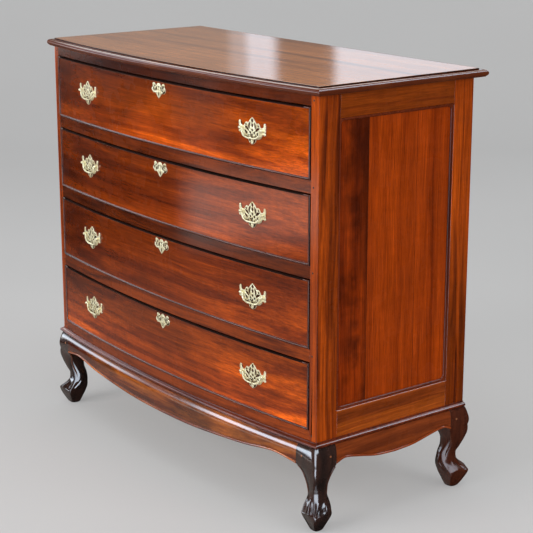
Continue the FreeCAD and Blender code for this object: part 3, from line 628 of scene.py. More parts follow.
@dataclass(frozen=True)
class WoodFinish:
    """Polished or plain timber with flowing figure, fibres, pores and clouds."""

    name: str
    dark: Colour
    middle: Colour
    light: Colour
    grain: Grain = Grain.X
    # the bands: scales across and along the grain, how far they wander, and their contrast
    figure_across: float = 17.0
    figure_along: float = 1.1
    warp: float = 0.045
    contrast: float = 1.0
    # strength of the dark clouds, their scale, and how much stronger they are on dark boards, 0 for even
    cloud: float = 0.5
    cloud_scale: float = 3.0
    cloud_on_dark: float = 0.0
    # tints of boards of tone 0 and tone 1
    low_tint: Colour = (0.80, 0.80, 0.80)
    high_tint: Colour = (1.20, 1.20, 1.20)
    streak: float = 0.0
    # painted light and reflection: share of the brightening from left to right, how far it reaches either
    # way, and its (place, brightness) stops
    painted_light: float = 0.0
    painted_light_half: float = 0.55
    painted_light_stops: Sequence[tuple[float, float]] = ((0.0, 0.46), (0.12, 0.58), (0.45, 0.74), (0.75, 0.95), (1.0, 1.0))
    # whether drawer fronts turn paler towards their foot, and how much calmer light boards are
    paler_below: bool = False
    even_on_light: float = 0.0
    # y of a joint that has dark heart wood before it, 0 for none
    heart_before: float = 0.0
    # a foot of another tint: full below this height, gone above that one, and only behind this y
    foot: tuple[float, float, float] = (0.0, 0.0, 0.0)
    foot_tint: Colour = (1.0, 1.0, 1.0)
    fibre: float = 0.25
    roughness: tuple[float, float] = (0.20, 0.34)
    coat: float = 0.55
    coat_roughness: float = 0.09
    coat_ior: float = 1.5
    specular: float = 0.25
    relief: float = 0.12
    relief_depth: float = 0.3 * MM
    # moves the whole figure
    shift: tuple[float, float, float] = (0.0, 0.0, 0.0)
    # height of a flat that has a moulded edge and a groove below it, 0 for none
    dark_below: float = 0.0
    edge_colour: Colour = (0.03, 0.01, 0.008)
    # near black: painted shade in the groove between the flat and the moulding
    groove_shade_colour: Colour = (0.006, 0.003, 0.002)

    def figure(self, g: WoodGraph) -> Socket:
        """Dark, middle and light bands along the grain, calmer on light boards where asked.

        Args:
            g: the material's tree.

        Returns:
            The colour.
        """
        figure = g.drawn(self.figure_along, self.figure_across, 1.0, 6.0, 0.58, 0.35)
        reach = 0.24 / self.contrast
        figure = g.fit(figure, 0.5 - reach, 0.5 + reach)
        if self.even_on_light:
            even = g.times(g.tone, self.even_on_light)
            figure = g.plus(figure, g.times(g.less(0.5, figure), even))
        return g.ramp(figure, [(0.0, self.dark), (0.34, self.middle), (0.62, self.light),
                               (0.86, self.middle), (1.0, self.light)])

    def clouds(self, g: WoodGraph) -> Socket:
        """Dark clouds, stronger on dark boards where asked.

        Args:
            g: the material's tree.

        Returns:
            Their strength.
        """
        cloud = g.drawn(0.8, 1.6, self.cloud_scale, 4.0, 0.62, 0.4, straight=True)
        cloud = g.fit(cloud, 0.44, 0.66, 0.0, self.cloud)
        if self.cloud_on_dark:
            more = g.fit(g.tone, 0.1, 0.6, self.cloud_on_dark, 0.3)
            cloud = g.math("MULTIPLY", cloud, more, True)
        return cloud

    def heart(self, g: WoodGraph, cloud: Socket) -> Socket:
        """Dark heart wood of dark boards: a band before a joint, and blots ahead of it.

        Args:
            g: the material's tree.
            cloud: the clouds' strength, which makes the band's edge wander.

        Returns:
            Its strength.
        """
        joint = self.heart_before
        level = g.plus(g.axis(g.here, 1), g.times(g.less(cloud, 0.2), 0.03))
        band = g.fit(level, joint - 34 * MM, joint - 6 * MM, 0.0, 0.76)
        blots = g.fit(g.noise(g.place, 12.0, 3.0, 0.6), 0.42, 0.60, 0.0, 0.66)
        blots = g.times(blots, g.fit(level, joint - 105 * MM, joint - 50 * MM))
        return g.times(g.math("MAXIMUM", band, blots), g.fit(g.tone, 0.25, 0.60, 1.0, 0.0))

    def foot_share(self, g: WoodGraph) -> Socket:
        """The foot's tint: full below a height, veined along the grain, none above another or before a y.

        Args:
            g: the material's tree.

        Returns:
            Its share.
        """
        full, none, behind = self.foot
        share = g.times(g.fit(g.axis(g.here, 2), full, none, 1.0, 0.0),
                        g.fit(g.axis(g.here, 1), behind, behind + 10 * MM))
        return g.times(share, g.fit(g.drawn(0.6, 46.0, 1.0, 2.0), 0.36, 0.60, 0.5, 1.0))

    def paleness(self, g: WoodGraph, cloud: Socket) -> Socket:
        """Brightness that falls from a drawer front's foot to its head, most on light boards.

        Args:
            g: the material's tree.
            cloud: the clouds' strength, which makes the change wander.

        Returns:
            The brightness.
        """
        rise = g.times(g.less(g.axis(g.here, 2), DRAWERS.lowest), 1.0 / DRAWERS.pitch)
        rise = g.plus(g.math("FRACT", rise), g.times(g.less(cloud, 0.1), 1.2))
        fall = g.math("POWER", g.fit(rise, 0.0, 0.85, 1.0, 0.0), 2.2)
        level = g.plus(g.times(fall, 1.6), 0.56)
        return g.plus(1.0, g.times(g.less(level, 1.0), g.fit(g.tone, 0.4, 0.85, 0.15, 1.0)))

    def moulded_edge(self, g: WoodGraph, body: Socket) -> Socket:
        """The colour of a moulded edge under a flat top, and the near black painted shade in the groove
        between them.

        Args:
            g: the material's tree.
            body: the colour of the flat.

        Returns:
            The colour.
        """
        level = g.axis(g.here, 2)
        edge = g.fit(level, self.dark_below - 0.4 * MM, self.dark_below, 1.0, 0.0)
        worn = g.fit(g.noise(g.place, 9.0, 3.0), 0.45, 0.7, 1.0, 0.85)
        groove = g.fit(level, self.dark_below - 2.8 * MM, self.dark_below - 2.5 * MM)
        body = g.mix(g.times(edge, worn), body, self.edge_colour)
        return g.mix(g.times(edge, groove), body, self.groove_shade_colour)

    def build(self) -> bpy.types.Material:
        """Builds the material.

        Returns:
            The material.
        """
        g = WoodGraph(bpy.data.materials.new(self.name), self.grain, self.warp, self.shift)
        cloud = self.clouds(g)
        body = g.mix(cloud, self.figure(g), self.dark)
        if self.heart_before:
            body = g.mix(self.heart(g, cloud), body, self.dark)
        body = g.tinted(body, g.mix(g.tone, self.low_tint, self.high_tint))
        if self.foot[1]:
            body = g.mix(self.foot_share(g), body, g.tinted(body, self.foot_tint))
        # painted light and reflection: darker at the left end of the front, brighter towards the right
        if self.painted_light:
            along_front = g.fit(g.axis(g.here, 0), -self.painted_light_half, self.painted_light_half)
            fade = g.ramp(along_front, [(s, (v, v, v)) for s, v in self.painted_light_stops])
            body = g.mix(self.painted_light, body, g.tinted(body, fade))
        if self.paler_below:
            body = g.tinted(body, g.grey(self.paleness(g, cloud)))
        if self.streak:
            band = g.fit(g.drawn(0.35, 24.0, 1.0, 3.0, 0.55), 0.56, 0.70, 0.0, self.streak)
            body = g.mix(band, body, self.dark)
        fine = g.fit(g.drawn(9.0, 330.0, 1.0, 4.0, 0.7), 0.25, 0.75, 1.0 - self.fibre, 1.0 + self.fibre * 0.6)
        pore = g.fit(g.drawn(70.0, 1900.0, 1.0, 1.0, straight=True), 0.60, 0.70)
        ribbon = g.fit(g.drawn(48.0, 9.0, 1.0, 2.0, straight=True), 0.3, 0.7, 0.95, 1.05)
        shade = g.times(g.times(fine, ribbon), g.less(1.0, g.times(pore, 0.3)))
        body = g.tinted(body, g.grey(shade))
        if self.dark_below:
            body = self.moulded_edge(g, body)
        rough = g.fit(g.noise(g.place, 14.0, 3.0, 0.6), 0.3, 0.7, *self.roughness)
        bump = g.add("Bump", {"Strength": self.relief, "Distance": self.relief_depth,
                              "Height": g.less(fine, g.times(pore, 0.6))})
        return g.output(g.add("BsdfPrincipled", {
            "Base Color": body, "Roughness": rough, "Coat Weight": self.coat,
            "Coat Roughness": self.coat_roughness, "Coat IOR": self.coat_ior,
            "Specular IOR Level": self.specular, "Normal": bump.outputs[0]}))


@dataclass(frozen=True)
class MetalFinish:
    """Cast metal with tarnish that gathers in patches, and tool marks."""

    name: str
    bright: Colour
    tarnish: Colour
    patch: tuple[float, float] = (0.45, 0.75)
    roughness: tuple[float, float] = (0.18, 0.36)
    marks: float = 0.15
    metal: float = 1.0
    relief_depth: float = 0.2 * MM

    def build(self) -> bpy.types.Material:
        """Builds the material.

        Returns:
            The material.
        """
        g = Graph(bpy.data.materials.new(self.name))
        here = g.add("TexCoord").outputs["Object"]
        patches = g.fit(g.noise(here, 90.0, 5.0, 0.65, 0.3), *self.patch)
        grit = g.fit(g.noise(here, 900.0, 3.0, 0.7), 0.3, 0.7, *self.roughness)
        bump = g.add("Bump", {"Strength": self.marks, "Distance": self.relief_depth,
                              "Height": g.noise(here, 420.0, 4.0)})
        return g.output(g.add("BsdfPrincipled", {
            "Base Color": g.mix(patches, self.bright, self.tarnish), "Metallic": self.metal,
            "Roughness": g.plus(grit, g.times(patches, 0.12)), "Normal": bump.outputs[0]}))


class Finishes:
    """Every finish on the chest, built once."""

    def __init__(self) -> None:
        """Builds all the materials."""
        red = dict(dark=(0.060, 0.008, 0.002), middle=(0.26, 0.036, 0.003), light=(0.52, 0.082, 0.004))
        deep = dict(dark=(0.045, 0.010, 0.006), middle=(0.17, 0.033, 0.009), light=(0.29, 0.057, 0.012))
        bead = dict(dark=(0.036, 0.008, 0.005), middle=(0.13, 0.022, 0.008), light=(0.22, 0.040, 0.013),
                    figure_across=40.0, cloud=0.2, specular=0.05)
        pine = dict(dark=(0.20, 0.10, 0.045), middle=(0.36, 0.21, 0.10), light=(0.46, 0.29, 0.15),
                    cloud=0.2, roughness=(0.55, 0.75), coat=0.0, relief=0.35)
        gloss = dict(coat=1.0, specular=0.05)
        ebon = dict(coat=1.0, coat_roughness=0.09, coat_ior=1.8, roughness=(0.18, 0.30), cloud=0.4,
                    figure_across=36.0, grain=Grain.Z)
        specs: list[WoodFinish | MetalFinish] = [
            WoodFinish("top_polish", (0.22, 0.065, 0.018), (0.50, 0.16, 0.040), (0.66, 0.23, 0.060),
                       figure_across=26.0, roughness=(0.015, 0.035), coat=0.0, cloud=0.25, contrast=1.1,
                       fibre=0.5, relief=0.06, dark_below=1000.0 * MM, edge_colour=(0.120, 0.026, 0.010),
                       specular=0.5),
            WoodFinish("front_polish", **red, **gloss, figure_across=22.0, figure_along=0.4, cloud=0.25,
                       cloud_scale=2.2, shift=(0.0, 0.0, -0.12), coat_roughness=0.06, warp=0.03, fibre=0.62,
                       streak=0.42, low_tint=(0.62, 0.54, 0.62), high_tint=(1.36, 1.34, 1.0), painted_light=1.0,
                       paler_below=True, contrast=0.92),
            WoodFinish("rail_polish", (0.050, 0.009, 0.003), (0.19, 0.030, 0.004), (0.36, 0.060, 0.006),
                       **gloss, cloud=0.3, figure_across=60.0, painted_light=0.7, streak=0.6,
                       low_tint=(0.42, 0.40, 0.45), high_tint=(1.35, 1.3, 1.0)),
            WoodFinish("post_polish", (0.060, 0.009, 0.003), (0.26, 0.038, 0.003), (0.46, 0.072, 0.004),
                       Grain.Z, **gloss, figure_across=55.0, cloud=0.3, streak=0.8, contrast=1.2, fibre=0.5,
                       high_tint=(1.50, 1.48, 1.30), foot=(0.42, 0.66, 0.0), foot_tint=(0.34, 0.36, 0.60)),
            WoodFinish("panel_polish", (0.045, 0.007, 0.002), (0.24, 0.030, 0.002), (0.42, 0.058, 0.003),
                       Grain.Z, **gloss, figure_across=34.0, figure_along=0.9, cloud=0.45, cloud_scale=2.6,
                       cloud_on_dark=2.0, fibre=0.55, even_on_light=0.7, heart_before=-66 * MM,
                       low_tint=(1.16, 1.00, 0.92), high_tint=(1.30, 1.25, 1.0)),
            WoodFinish("side_rail_polish", (0.06, 0.012, 0.003), (0.21, 0.034, 0.004), (0.33, 0.060, 0.005),
                       Grain.Y, **gloss, figure_across=36.0, cloud=0.3, fibre=0.45,
                       foot=(0.40, 0.60, -1.0), foot_tint=(1.65, 1.85, 2.2)),
            WoodFinish("bead_polish", **bead, coat=1.0),
            WoodFinish("ovolo_polish", **bead, grain=Grain.Z, coat=0.22),
            # lighter than the legs, so the edge beads show as a line of painted highlight
            WoodFinish("leg_bead_highlight", (0.040, 0.012, 0.008), (0.13, 0.045, 0.026), (0.20, 0.07, 0.04),
                       Grain.Z, figure_across=60.0, coat=1.0),
            # its low tint turns points of tone 0 nearly black: painted shade on the cockbeads' outer side,
            # and the dark glue lines of the side panels
            WoodFinish("cockbead_polish", (0.022, 0.008, 0.006), (0.080, 0.022, 0.012), (0.125, 0.036, 0.019),
                       **gloss, figure_across=60.0, cloud=0.2, low_tint=(0.20, 0.14, 0.12)),
            # dark sheet behind each plate and escutcheon: painted shade that shows through the piercings
            WoodFinish("painted_shade", (0.010, 0.004, 0.003), (0.040, 0.012, 0.005), (0.085, 0.020, 0.007),
                       figure_across=60.0, cloud=0.6, coat=0.2, specular=0.05, roughness=(0.5, 0.7)),
            # nearly black film over the upper cockbeads: painted shade in the gap under each rail
            WoodFinish("painted_gap_shade", (0.004, 0.002, 0.001), (0.009, 0.004, 0.003), (0.018, 0.007, 0.005),
                       figure_across=60.0, cloud=0.3, coat=0.0, specular=0.03, roughness=(0.6, 0.8)),
            # the high tint lightens most the apron beads, whose tone is 1: painted highlight along the lower
            # edges, here and on the side aprons
            WoodFinish("apron_polish", (0.030, 0.007, 0.005), (0.15, 0.026, 0.006), (0.42, 0.110, 0.014),
                       **gloss, figure_across=16.0, figure_along=1.6, cloud=0.8, cloud_scale=5.0,
                       contrast=1.5, coat_roughness=0.11, coat_ior=1.9, high_tint=(1.9, 1.9, 1.7)),
            WoodFinish("side_apron_polish", **deep, **gloss, grain=Grain.Y, figure_across=26.0, cloud=0.45,
                       coat_roughness=0.11, high_tint=(1.9, 1.9, 1.7)),
            WoodFinish("leg_polish", (0.014, 0.009, 0.008), (0.032, 0.017, 0.014), (0.060, 0.026, 0.019),
                       **ebon),
            WoodFinish("back_leg_polish", (0.020, 0.007, 0.005), (0.060, 0.015, 0.008), (0.11, 0.026, 0.011),
                       **{**ebon, "coat_ior": 1.45, "coat": 0.7}),
            WoodFinish("peg_wood", (0.20, 0.07, 0.03), (0.38, 0.14, 0.06), (0.50, 0.20, 0.08), Grain.Y,
                       figure_across=300.0, coat=0.3),
            WoodFinish("dark_peg_wood", (0.02, 0.012, 0.01), (0.05, 0.025, 0.016), (0.09, 0.04, 0.02),
                       Grain.Y, figure_across=300.0, coat=0.3),
            WoodFinish("carcass_pine", **pine, figure_across=26.0),
            WoodFinish("runner_pine", **pine, grain=Grain.Y, figure_across=40.0),
            WoodFinish("drawer_lining", (0.30, 0.17, 0.08), (0.50, 0.32, 0.17), (0.60, 0.41, 0.24),
                       Grain.Y, figure_across=30.0, cloud=0.1, contrast=0.7, roughness=(0.5, 0.7), coat=0.0,
                       relief=0.3),
            MetalFinish("old_brass", (1.0, 0.93, 0.64), (0.58, 0.43, 0.17), metal=0.45, marks=0.25),
            MetalFinish("lock_steel", (0.42, 0.39, 0.36), (0.16, 0.11, 0.08), roughness=(0.3, 0.55)),
        ]
        self.materials = {spec.name: spec.build() for spec in specs}

    def dress(self, obj: bpy.types.Object, finish: str) -> None:
        """Gives an object one finish."""
        obj.data.materials.clear()
        obj.data.materials.append(self.materials[finish])


@dataclass
class Workshop:
    """What every maker needs: the frame's nodes and the finishes."""

    nodes: dict
    finishes: Finishes

    def fit_piece(self, obj: bpy.types.Object, body: str, finish: str, slot: str,
                  replaced: Sequence[str] = ()) -> None:
        """Dresses a piece, makes it ride on a body and hides the frame nodes that it replaces.

        Args:
            obj: the piece.
            body: the moving body that carries it.
            finish: the finish's name.
            slot: the record's material slot; not used.
            replaced: frame nodes that it replaces.
        """
        self.finishes.dress(obj, finish)
        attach(obj, body)
        if replaced:
            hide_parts(*replaced)
        LOG.info("%s: %d faces", obj.name, len(obj.data.polygons))


# ---- timber whose shape the frame already has -------------------------------------------------------
@dataclass
class Boards:
    """Posts, rails, panels, linings and other boards: the frame's shapes with worn arrises."""

    shop: Workshop
    arris: float = 0.9 * MM
    fine_arris: float = 0.5 * MM
    joint: float = 0.35 * MM
    glue_proud: float = 0.06 * MM
    panel_thickness: float = 10 * MM
    panel_shares: tuple[float, ...] = (0.27, 0.41, 0.32)
    panel_tones: tuple[float, ...] = (0.18, 0.90, 0.72)
    rail_heights: tuple[float, ...] = (0.227, 0.411, 0.598, 0.785, 0.969)
    # tone of each front rail from the lowest up; the top rail's 0 is painted shade under the top's overhang
    rail_tones: tuple[float, ...] = (0.7, 0.75, 0.1, 0.45, 0.0)
    front_tones: tuple[float, ...] = (1.0, 0.47, 0.42, 0.95)
    front_depths: tuple[float, ...] = (0.0, -6 * MM, -24 * MM)

    @staticmethod
    def plank(side: int, x: Sequence[float], y: Sequence[float], z: Sequence[float]) -> Shell:
        """An upright board of a side frame: its section is carried from its foot to its head."""
        corners = np.array([(side * x[a], y[b]) for a, b in ((0, 0), (1, 0), (1, 1), (0, 1))])
        return sleeve(np.stack([np.column_stack([corners, np.full(4, level)]) for level in z]))

    def panels(self) -> None:
        """Three boards in each side frame, with a dark glue line at each joint."""
        low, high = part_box("side_panels")
        face, back, upright = high.x, high.x - self.panel_thickness, (low.z, high.z)
        edges = low.y + (high.y - low.y) * np.cumsum((0.0,) + self.panel_shares)
        shells, tones, lines = [], [], []
        for y0, y1, tone in zip(edges[:-1], edges[1:], self.panel_tones):
            for side in (-1, 1):
                shells.append(self.plank(side, (back, face), (y0, y1), upright))
                tones += [tone] * len(shells[-1][0])
        obj = solid("side_panels_boards", *merged(shells))
        set_tones(obj, tones)
        self.shop.fit_piece(obj, "carcass", "panel_polish", "case_wood", ["side_panels"])
        for y in edges[1:-1]:
            seam = (y - self.joint, y + self.joint)
            for side in (-1, 1):
                lines.append(self.plank(side, (back, face + self.glue_proud), seam, upright))
        seams = solid("side_panels_glue_lines", *merged(lines), 0.0)
        self.shop.fit_piece(seams, "carcass", "cockbead_polish", "case_wood")

    @staticmethod
    def post_tone(middle: Array) -> float:
        """The back posts are lighter than the front ones."""
        return 1.0 if middle[1] > 0 else 0.9

    def rail_tone(self, middle: Array) -> float:
        """Each front rail's tone, from the lowest up; the top rail's is painted shade under the top's
        overhang.
        """
        return float(np.interp(middle[2], self.rail_heights, self.rail_tones))

    @staticmethod
    def plain_tone(middle: Array) -> float:
        """Boards that match each other, with a slight difference from one to the next."""
        return 0.45 + 0.2 * abs(math.sin(float(middle @ np.array([11.0, 7.0, 5.0]))))

    def carcass(self) -> None:
        """Dresses the carcass's boards."""
        posts = [f"{side}_{end}_post" for end in ("front", "back") for side in ("left", "right")]
        rows = [(post, "post_polish", "case_wood", self.arris, self.post_tone) for post in posts] + [
            ("front_rails", "rail_polish", "case_wood", self.fine_arris, self.rail_tone),
            ("side_rails", "side_rail_polish", "case_wood", self.arris, self.plain_tone),
            ("back_boards", "carcass_pine", "inner_wood", self.arris, None),
            ("drawer_runners", "runner_pine", "inner_wood", self.arris, None),
            ("drawer_stops", "carcass_pine", "inner_wood", self.fine_arris, None),
            ("back_apron", "rail_polish", "case_wood", self.arris, None),
            ("corner_blocks", "runner_pine", "inner_wood", self.arris, None),
        ]
        for node, finish, slot, width, tone in rows:
            bowed = self.front_depths[:1] if node == "front_rails" or "front_post" in node else ()
            obj = timber_from(self.shop.nodes[node], node + "_boards", width, tone, bowed)
            self.shop.fit_piece(obj, "carcass", finish, slot, [node])
        self.panels()

    def drawer(self, number: int) -> None:
        """Dresses one drawer's timber, lock and bolt.

        Args:
            number: the drawer, 1 at the top.
        """
        name = f"drawer_{number}"
        tone = self.front_tones[number - 1]
        rows = [
            ("front", name, "front_polish", "drawer_wood", self.fine_arris, lambda middle: tone),
            ("box", name, "drawer_lining", "lining_wood", self.arris, None),
            ("bottom", name, "drawer_lining", "lining_wood", self.fine_arris, None),
            ("lock", name, "lock_steel", "lock_steel", self.fine_arris, None),
            ("lock_bolt", f"lock_bolt_{number}", "lock_steel", "lock_steel", self.fine_arris, None),
        ]
        for part, body, finish, slot, width, tone_of in rows:
            node = f"{name}_{part}"
            bowed = self.front_depths if part == "front" else ()
            obj = timber_from(self.shop.nodes[node], node + "_dressed", width, tone_of, bowed)
            self.shop.fit_piece(obj, body, finish, slot, [node])

# ---- mouldings -------------------------------------------------------------------------------------
@dataclass
class Mouldings:
    """The top board, the astragal round the base and the cockbeads."""

    shop: Workshop
    top_low: float = 981 * MM
    top_high: float = 1000 * MM
    quirk_out: float = 5.4 * MM
    quirk_depth: float = 2.9 * MM
    groove_in: float = -0.6 * MM
    groove_lean: float = 0.8 * MM
    thumb_reach: float = 9.9 * MM
    under_in: float = -20 * MM
    field_in: float = -3 * MM
    arris_in: float = -0.4 * MM
    arris_low: float = 0.2 * MM
    rear_shelf: float = 16.5 * MM
    bead_low: float = 202 * MM
    bead_high: float = 215 * MM
    bead_reach: float = 9.5 * MM
    fillet: float = 2 * MM
    front_steps: int = 120
    back_steps: int = 12
    ovolo: float = 6 * MM
    ovolo_rise: float = 4.6 * MM
    # points of the upper run's section under a thin dark film of painted shade, and how far the film stands
    # off the bead
    gap_shade_points: int = 8
    gap_shade_film: float = 0.25 * MM
    # points on the outer side of each cockbead section painted dark, as shade in the gap round the drawer
    shaded_points: int = 4

    def plan_ring(self, out: Array, rear: Array, z: Array) -> Array:
        """Rings round the plan at many offsets: the front follows the arc, then side, back and side.

        Each profile point has its own offset, so at the corners the rings meet in a mitre.

        Args:
            out: offset of each profile point.
            rear: y of the back edge for each profile point.
            z: height of each profile point.

        Returns:
            Stations by profile points by 3.
        """
        half = PLAN.half + out
        share = np.linspace(-1, 1, self.front_steps)[:, None]
        x_front = share * half
        front = PLAN.points(x_front, z, out)
        x_back = np.linspace(1, -1, self.back_steps)[:, None] * half
        back = np.stack([x_back, np.broadcast_to(rear, x_back.shape), np.broadcast_to(z, x_back.shape)], -1)
        return np.concatenate([front, back])

    def top(self) -> None:
        """The top: a flat field, a sunk groove and a thumb moulding; its section is carried round.

        The groove has an upright inner side and a floor that leans inwards.
        """
        turn = np.radians(np.linspace(-90, 82, 26))
        half_height = (self.top_high - self.top_low - self.quirk_depth) / 2
        out = self.quirk_out + self.thumb_reach * np.cos(np.maximum(turn, math.radians(-60)))
        z = self.top_low + half_height * (1 + np.sin(turn))
        field_edge = self.groove_in + np.array([0.0, 0.0, self.arris_in, self.field_in])
        floor = z[-1] - self.groove_lean
        out = np.concatenate([[self.under_in], out, field_edge])
        z = np.concatenate([[self.top_low], z, [floor, self.top_high - self.arris_low], [self.top_high] * 2])
        ring = self.plan_ring(out, PLAN.back + self.rear_shelf + out, z)
        obj = solid("top_moulded", *self.closed_ring(ring), sharp=28.0)
        self.shop.fit_piece(obj, "carcass", "top_polish", "top_wood", ["top_board"])

    @staticmethod
    def closed_ring(ring: Array) -> Shell:
        """A ring of open sections made solid: its first and last rows of points are filled flat.

        Args:
            ring: stations by profile points by 3.

        Returns:
            Points and faces.
        """
        stations, points, _ = ring.shape
        faces = lattice(stations, points, True, False)
        first = [s * points for s in range(stations)]
        last = [s * points + points - 1 for s in range(stations)]
        return ring.reshape(-1, 3), faces + [first, last]

    def astragal(self) -> None:
        """The bead under the carcass: half round with a small fillet over it, mitred at the corners."""
        half_height = (self.bead_high - self.bead_low - self.fillet) / 2
        turn = np.radians(np.linspace(-88, 80, 20))
        out = self.bead_reach * np.cos(turn)
        z = self.bead_low + half_height * (1 + np.sin(turn))
        out = np.concatenate([[0.0], out, [self.fillet, self.fillet, 0.0]])
        z = np.concatenate([[self.bead_low], z, [self.bead_high - self.fillet], [self.bead_high] * 2])
        half = PLAN.half + out
        x = np.linspace(-1, 1, self.front_steps)[:, None] * half
        front = PLAN.points(x, z, out)
        ends = []
        for sign in (-1, 1):
            ends.append(np.stack([sign * half, np.full_like(half, PLAN.back), z], -1)[None])
        grid = np.concatenate([ends[0], front, ends[1]])
        obj = soften(solid("base_astragal", *sleeve(grid)), 0.3 * MM)
        self.shop.fit_piece(obj, "carcass", "bead_polish", "bead_wood", ["base_bead"])

    def panel_moulding(self) -> None:
        """An ovolo inside each side frame, its inner line rounded at the corners.

        Every section runs from a point of the frame's opening to a point of a rounded rectangle inside it,
        and rises as a quarter ellipse from the panel to the frame.
        """
        share = np.linspace(0, 1, 7)
        turn = share * math.pi / 2
        y0, y1, z0, z1 = -155.5 * MM, 175.5 * MM, 277 * MM, 927 * MM
        corners = ((y1, z1, 0), (y0, z1, 1), (y0, z0, 2), (y1, z0, 3))

        def loop(inset: float, radius: float) -> Array:
            """Points round the opening at an inset, with rounded corners.

            Args:
                inset: how far inside the opening.
                radius: radius of its corners.

            Returns:
                The loop.
            """
            points = []
            for y, z, quarter in corners:
                a = quarter * math.pi / 2 + np.linspace(0, math.pi / 2, 9)
                cy = y - math.copysign(inset + radius, y - 0.01)
                cz = z - math.copysign(inset + radius, z - 0.6)
                points.append(np.stack([cy + radius * np.cos(a), cz + radius * np.sin(a)], -1))
            return np.concatenate(points)

        outer, inner = loop(-0.4 * MM, 0.6 * MM), loop(self.ovolo, 9 * MM)
        blend = np.concatenate([[0.0], np.sin(turn), [1.0]])
        rise = np.concatenate([[-0.8 * MM], self.ovolo_rise * np.cos(turn), [-0.8 * MM]])
        flat = outer[:, None] * (1 - blend[None, :, None]) + inner[:, None] * blend[None, :, None]
        shells = []
        for side in (-1, 1):
            x = np.broadcast_to(side * (PLAN.half - 6 * MM + rise), flat.shape[:2])
            shells.append(sleeve(np.concatenate([x[..., None], flat], -1), ring=True))
        obj = solid("panel_mouldings", *merged(shells), sharp=50.0)
        # the runs beside the front stay light and the others are darker: painted shade in the recess round
        # the panel
        beside_front = coordinates(obj.data)[:, 1] < y0 + self.ovolo + 3 * MM
        set_tones(obj, np.where(beside_front, 1.0, 0.2))
        self.shop.fit_piece(obj, "carcass", "ovolo_polish", "case_wood")

    def cockbead(self, number: int) -> None:
        """A round-nosed bead round a drawer front: its section is carried round the front's four edges. Its
        outer points are painted dark, and a thin dark film over the upper run's outer half is painted shade
        in the gap round the drawer.

        Args:
            number: the drawer, 1 at the top.
        """
        low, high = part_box(f"drawer_{number}_cockbead")
        half, z0, z1 = high.x, low.z, high.z
        width, proud, inlet = 5 * MM, 3 * MM, 6 * MM
        turn = np.radians(np.linspace(0, 180, 11))
        across = np.concatenate([[0.0], width / 2 * (1 - np.cos(turn)), [width]])
        before = np.concatenate([[-inlet], proud - width / 2 * (1 - np.sin(turn)), [-inlet]])
        run = np.linspace(-1, 1, 64)[:, None]
        x = run * (half - across)
        upper = PLAN.points(x, z1 - across, ahead=before)
        lower = PLAN.points(-x, z0 + across, ahead=before)
        points, faces = sleeve(np.concatenate([upper, lower]), ring=True)
        obj = solid(f"drawer_{number}_bead_nosed", points, faces, sharp=50.0)
        # painted shade: the section's outer points get tone 0, nearly black in the cockbead finish
        in_shade = np.arange(len(points)) % len(across) < self.shaded_points
        set_tones(obj, np.where(in_shade, 0.0, 0.8 + 0.05 * number))
        self.shop.fit_piece(obj, f"drawer_{number}", "cockbead_polish", "bead_wood",
                            [f"drawer_{number}_cockbead"])
        # painted shade: a thin dark film over the outer half of the upper run, where the gap under the rail
        # lies in shade
        part = slice(1, self.gap_shade_points)
        lean = turn[:self.gap_shade_points - 1]
        shut = np.concatenate([across[part], (across[part] - self.gap_shade_film * np.cos(lean))[::-1]])
        ahead = np.concatenate([before[part], (before[part] + self.gap_shade_film * np.sin(lean))[::-1]])
        run = run[1:-1]
        x = run * (half - shut)
        film = PLAN.points(x, z1 - shut, ahead=ahead)
        obj = solid(f"drawer_{number}_bead_old_wax", *sleeve(film), 0.2 * number, 50.0)
        self.shop.fit_piece(obj, f"drawer_{number}", "painted_gap_shade", "bead_wood")


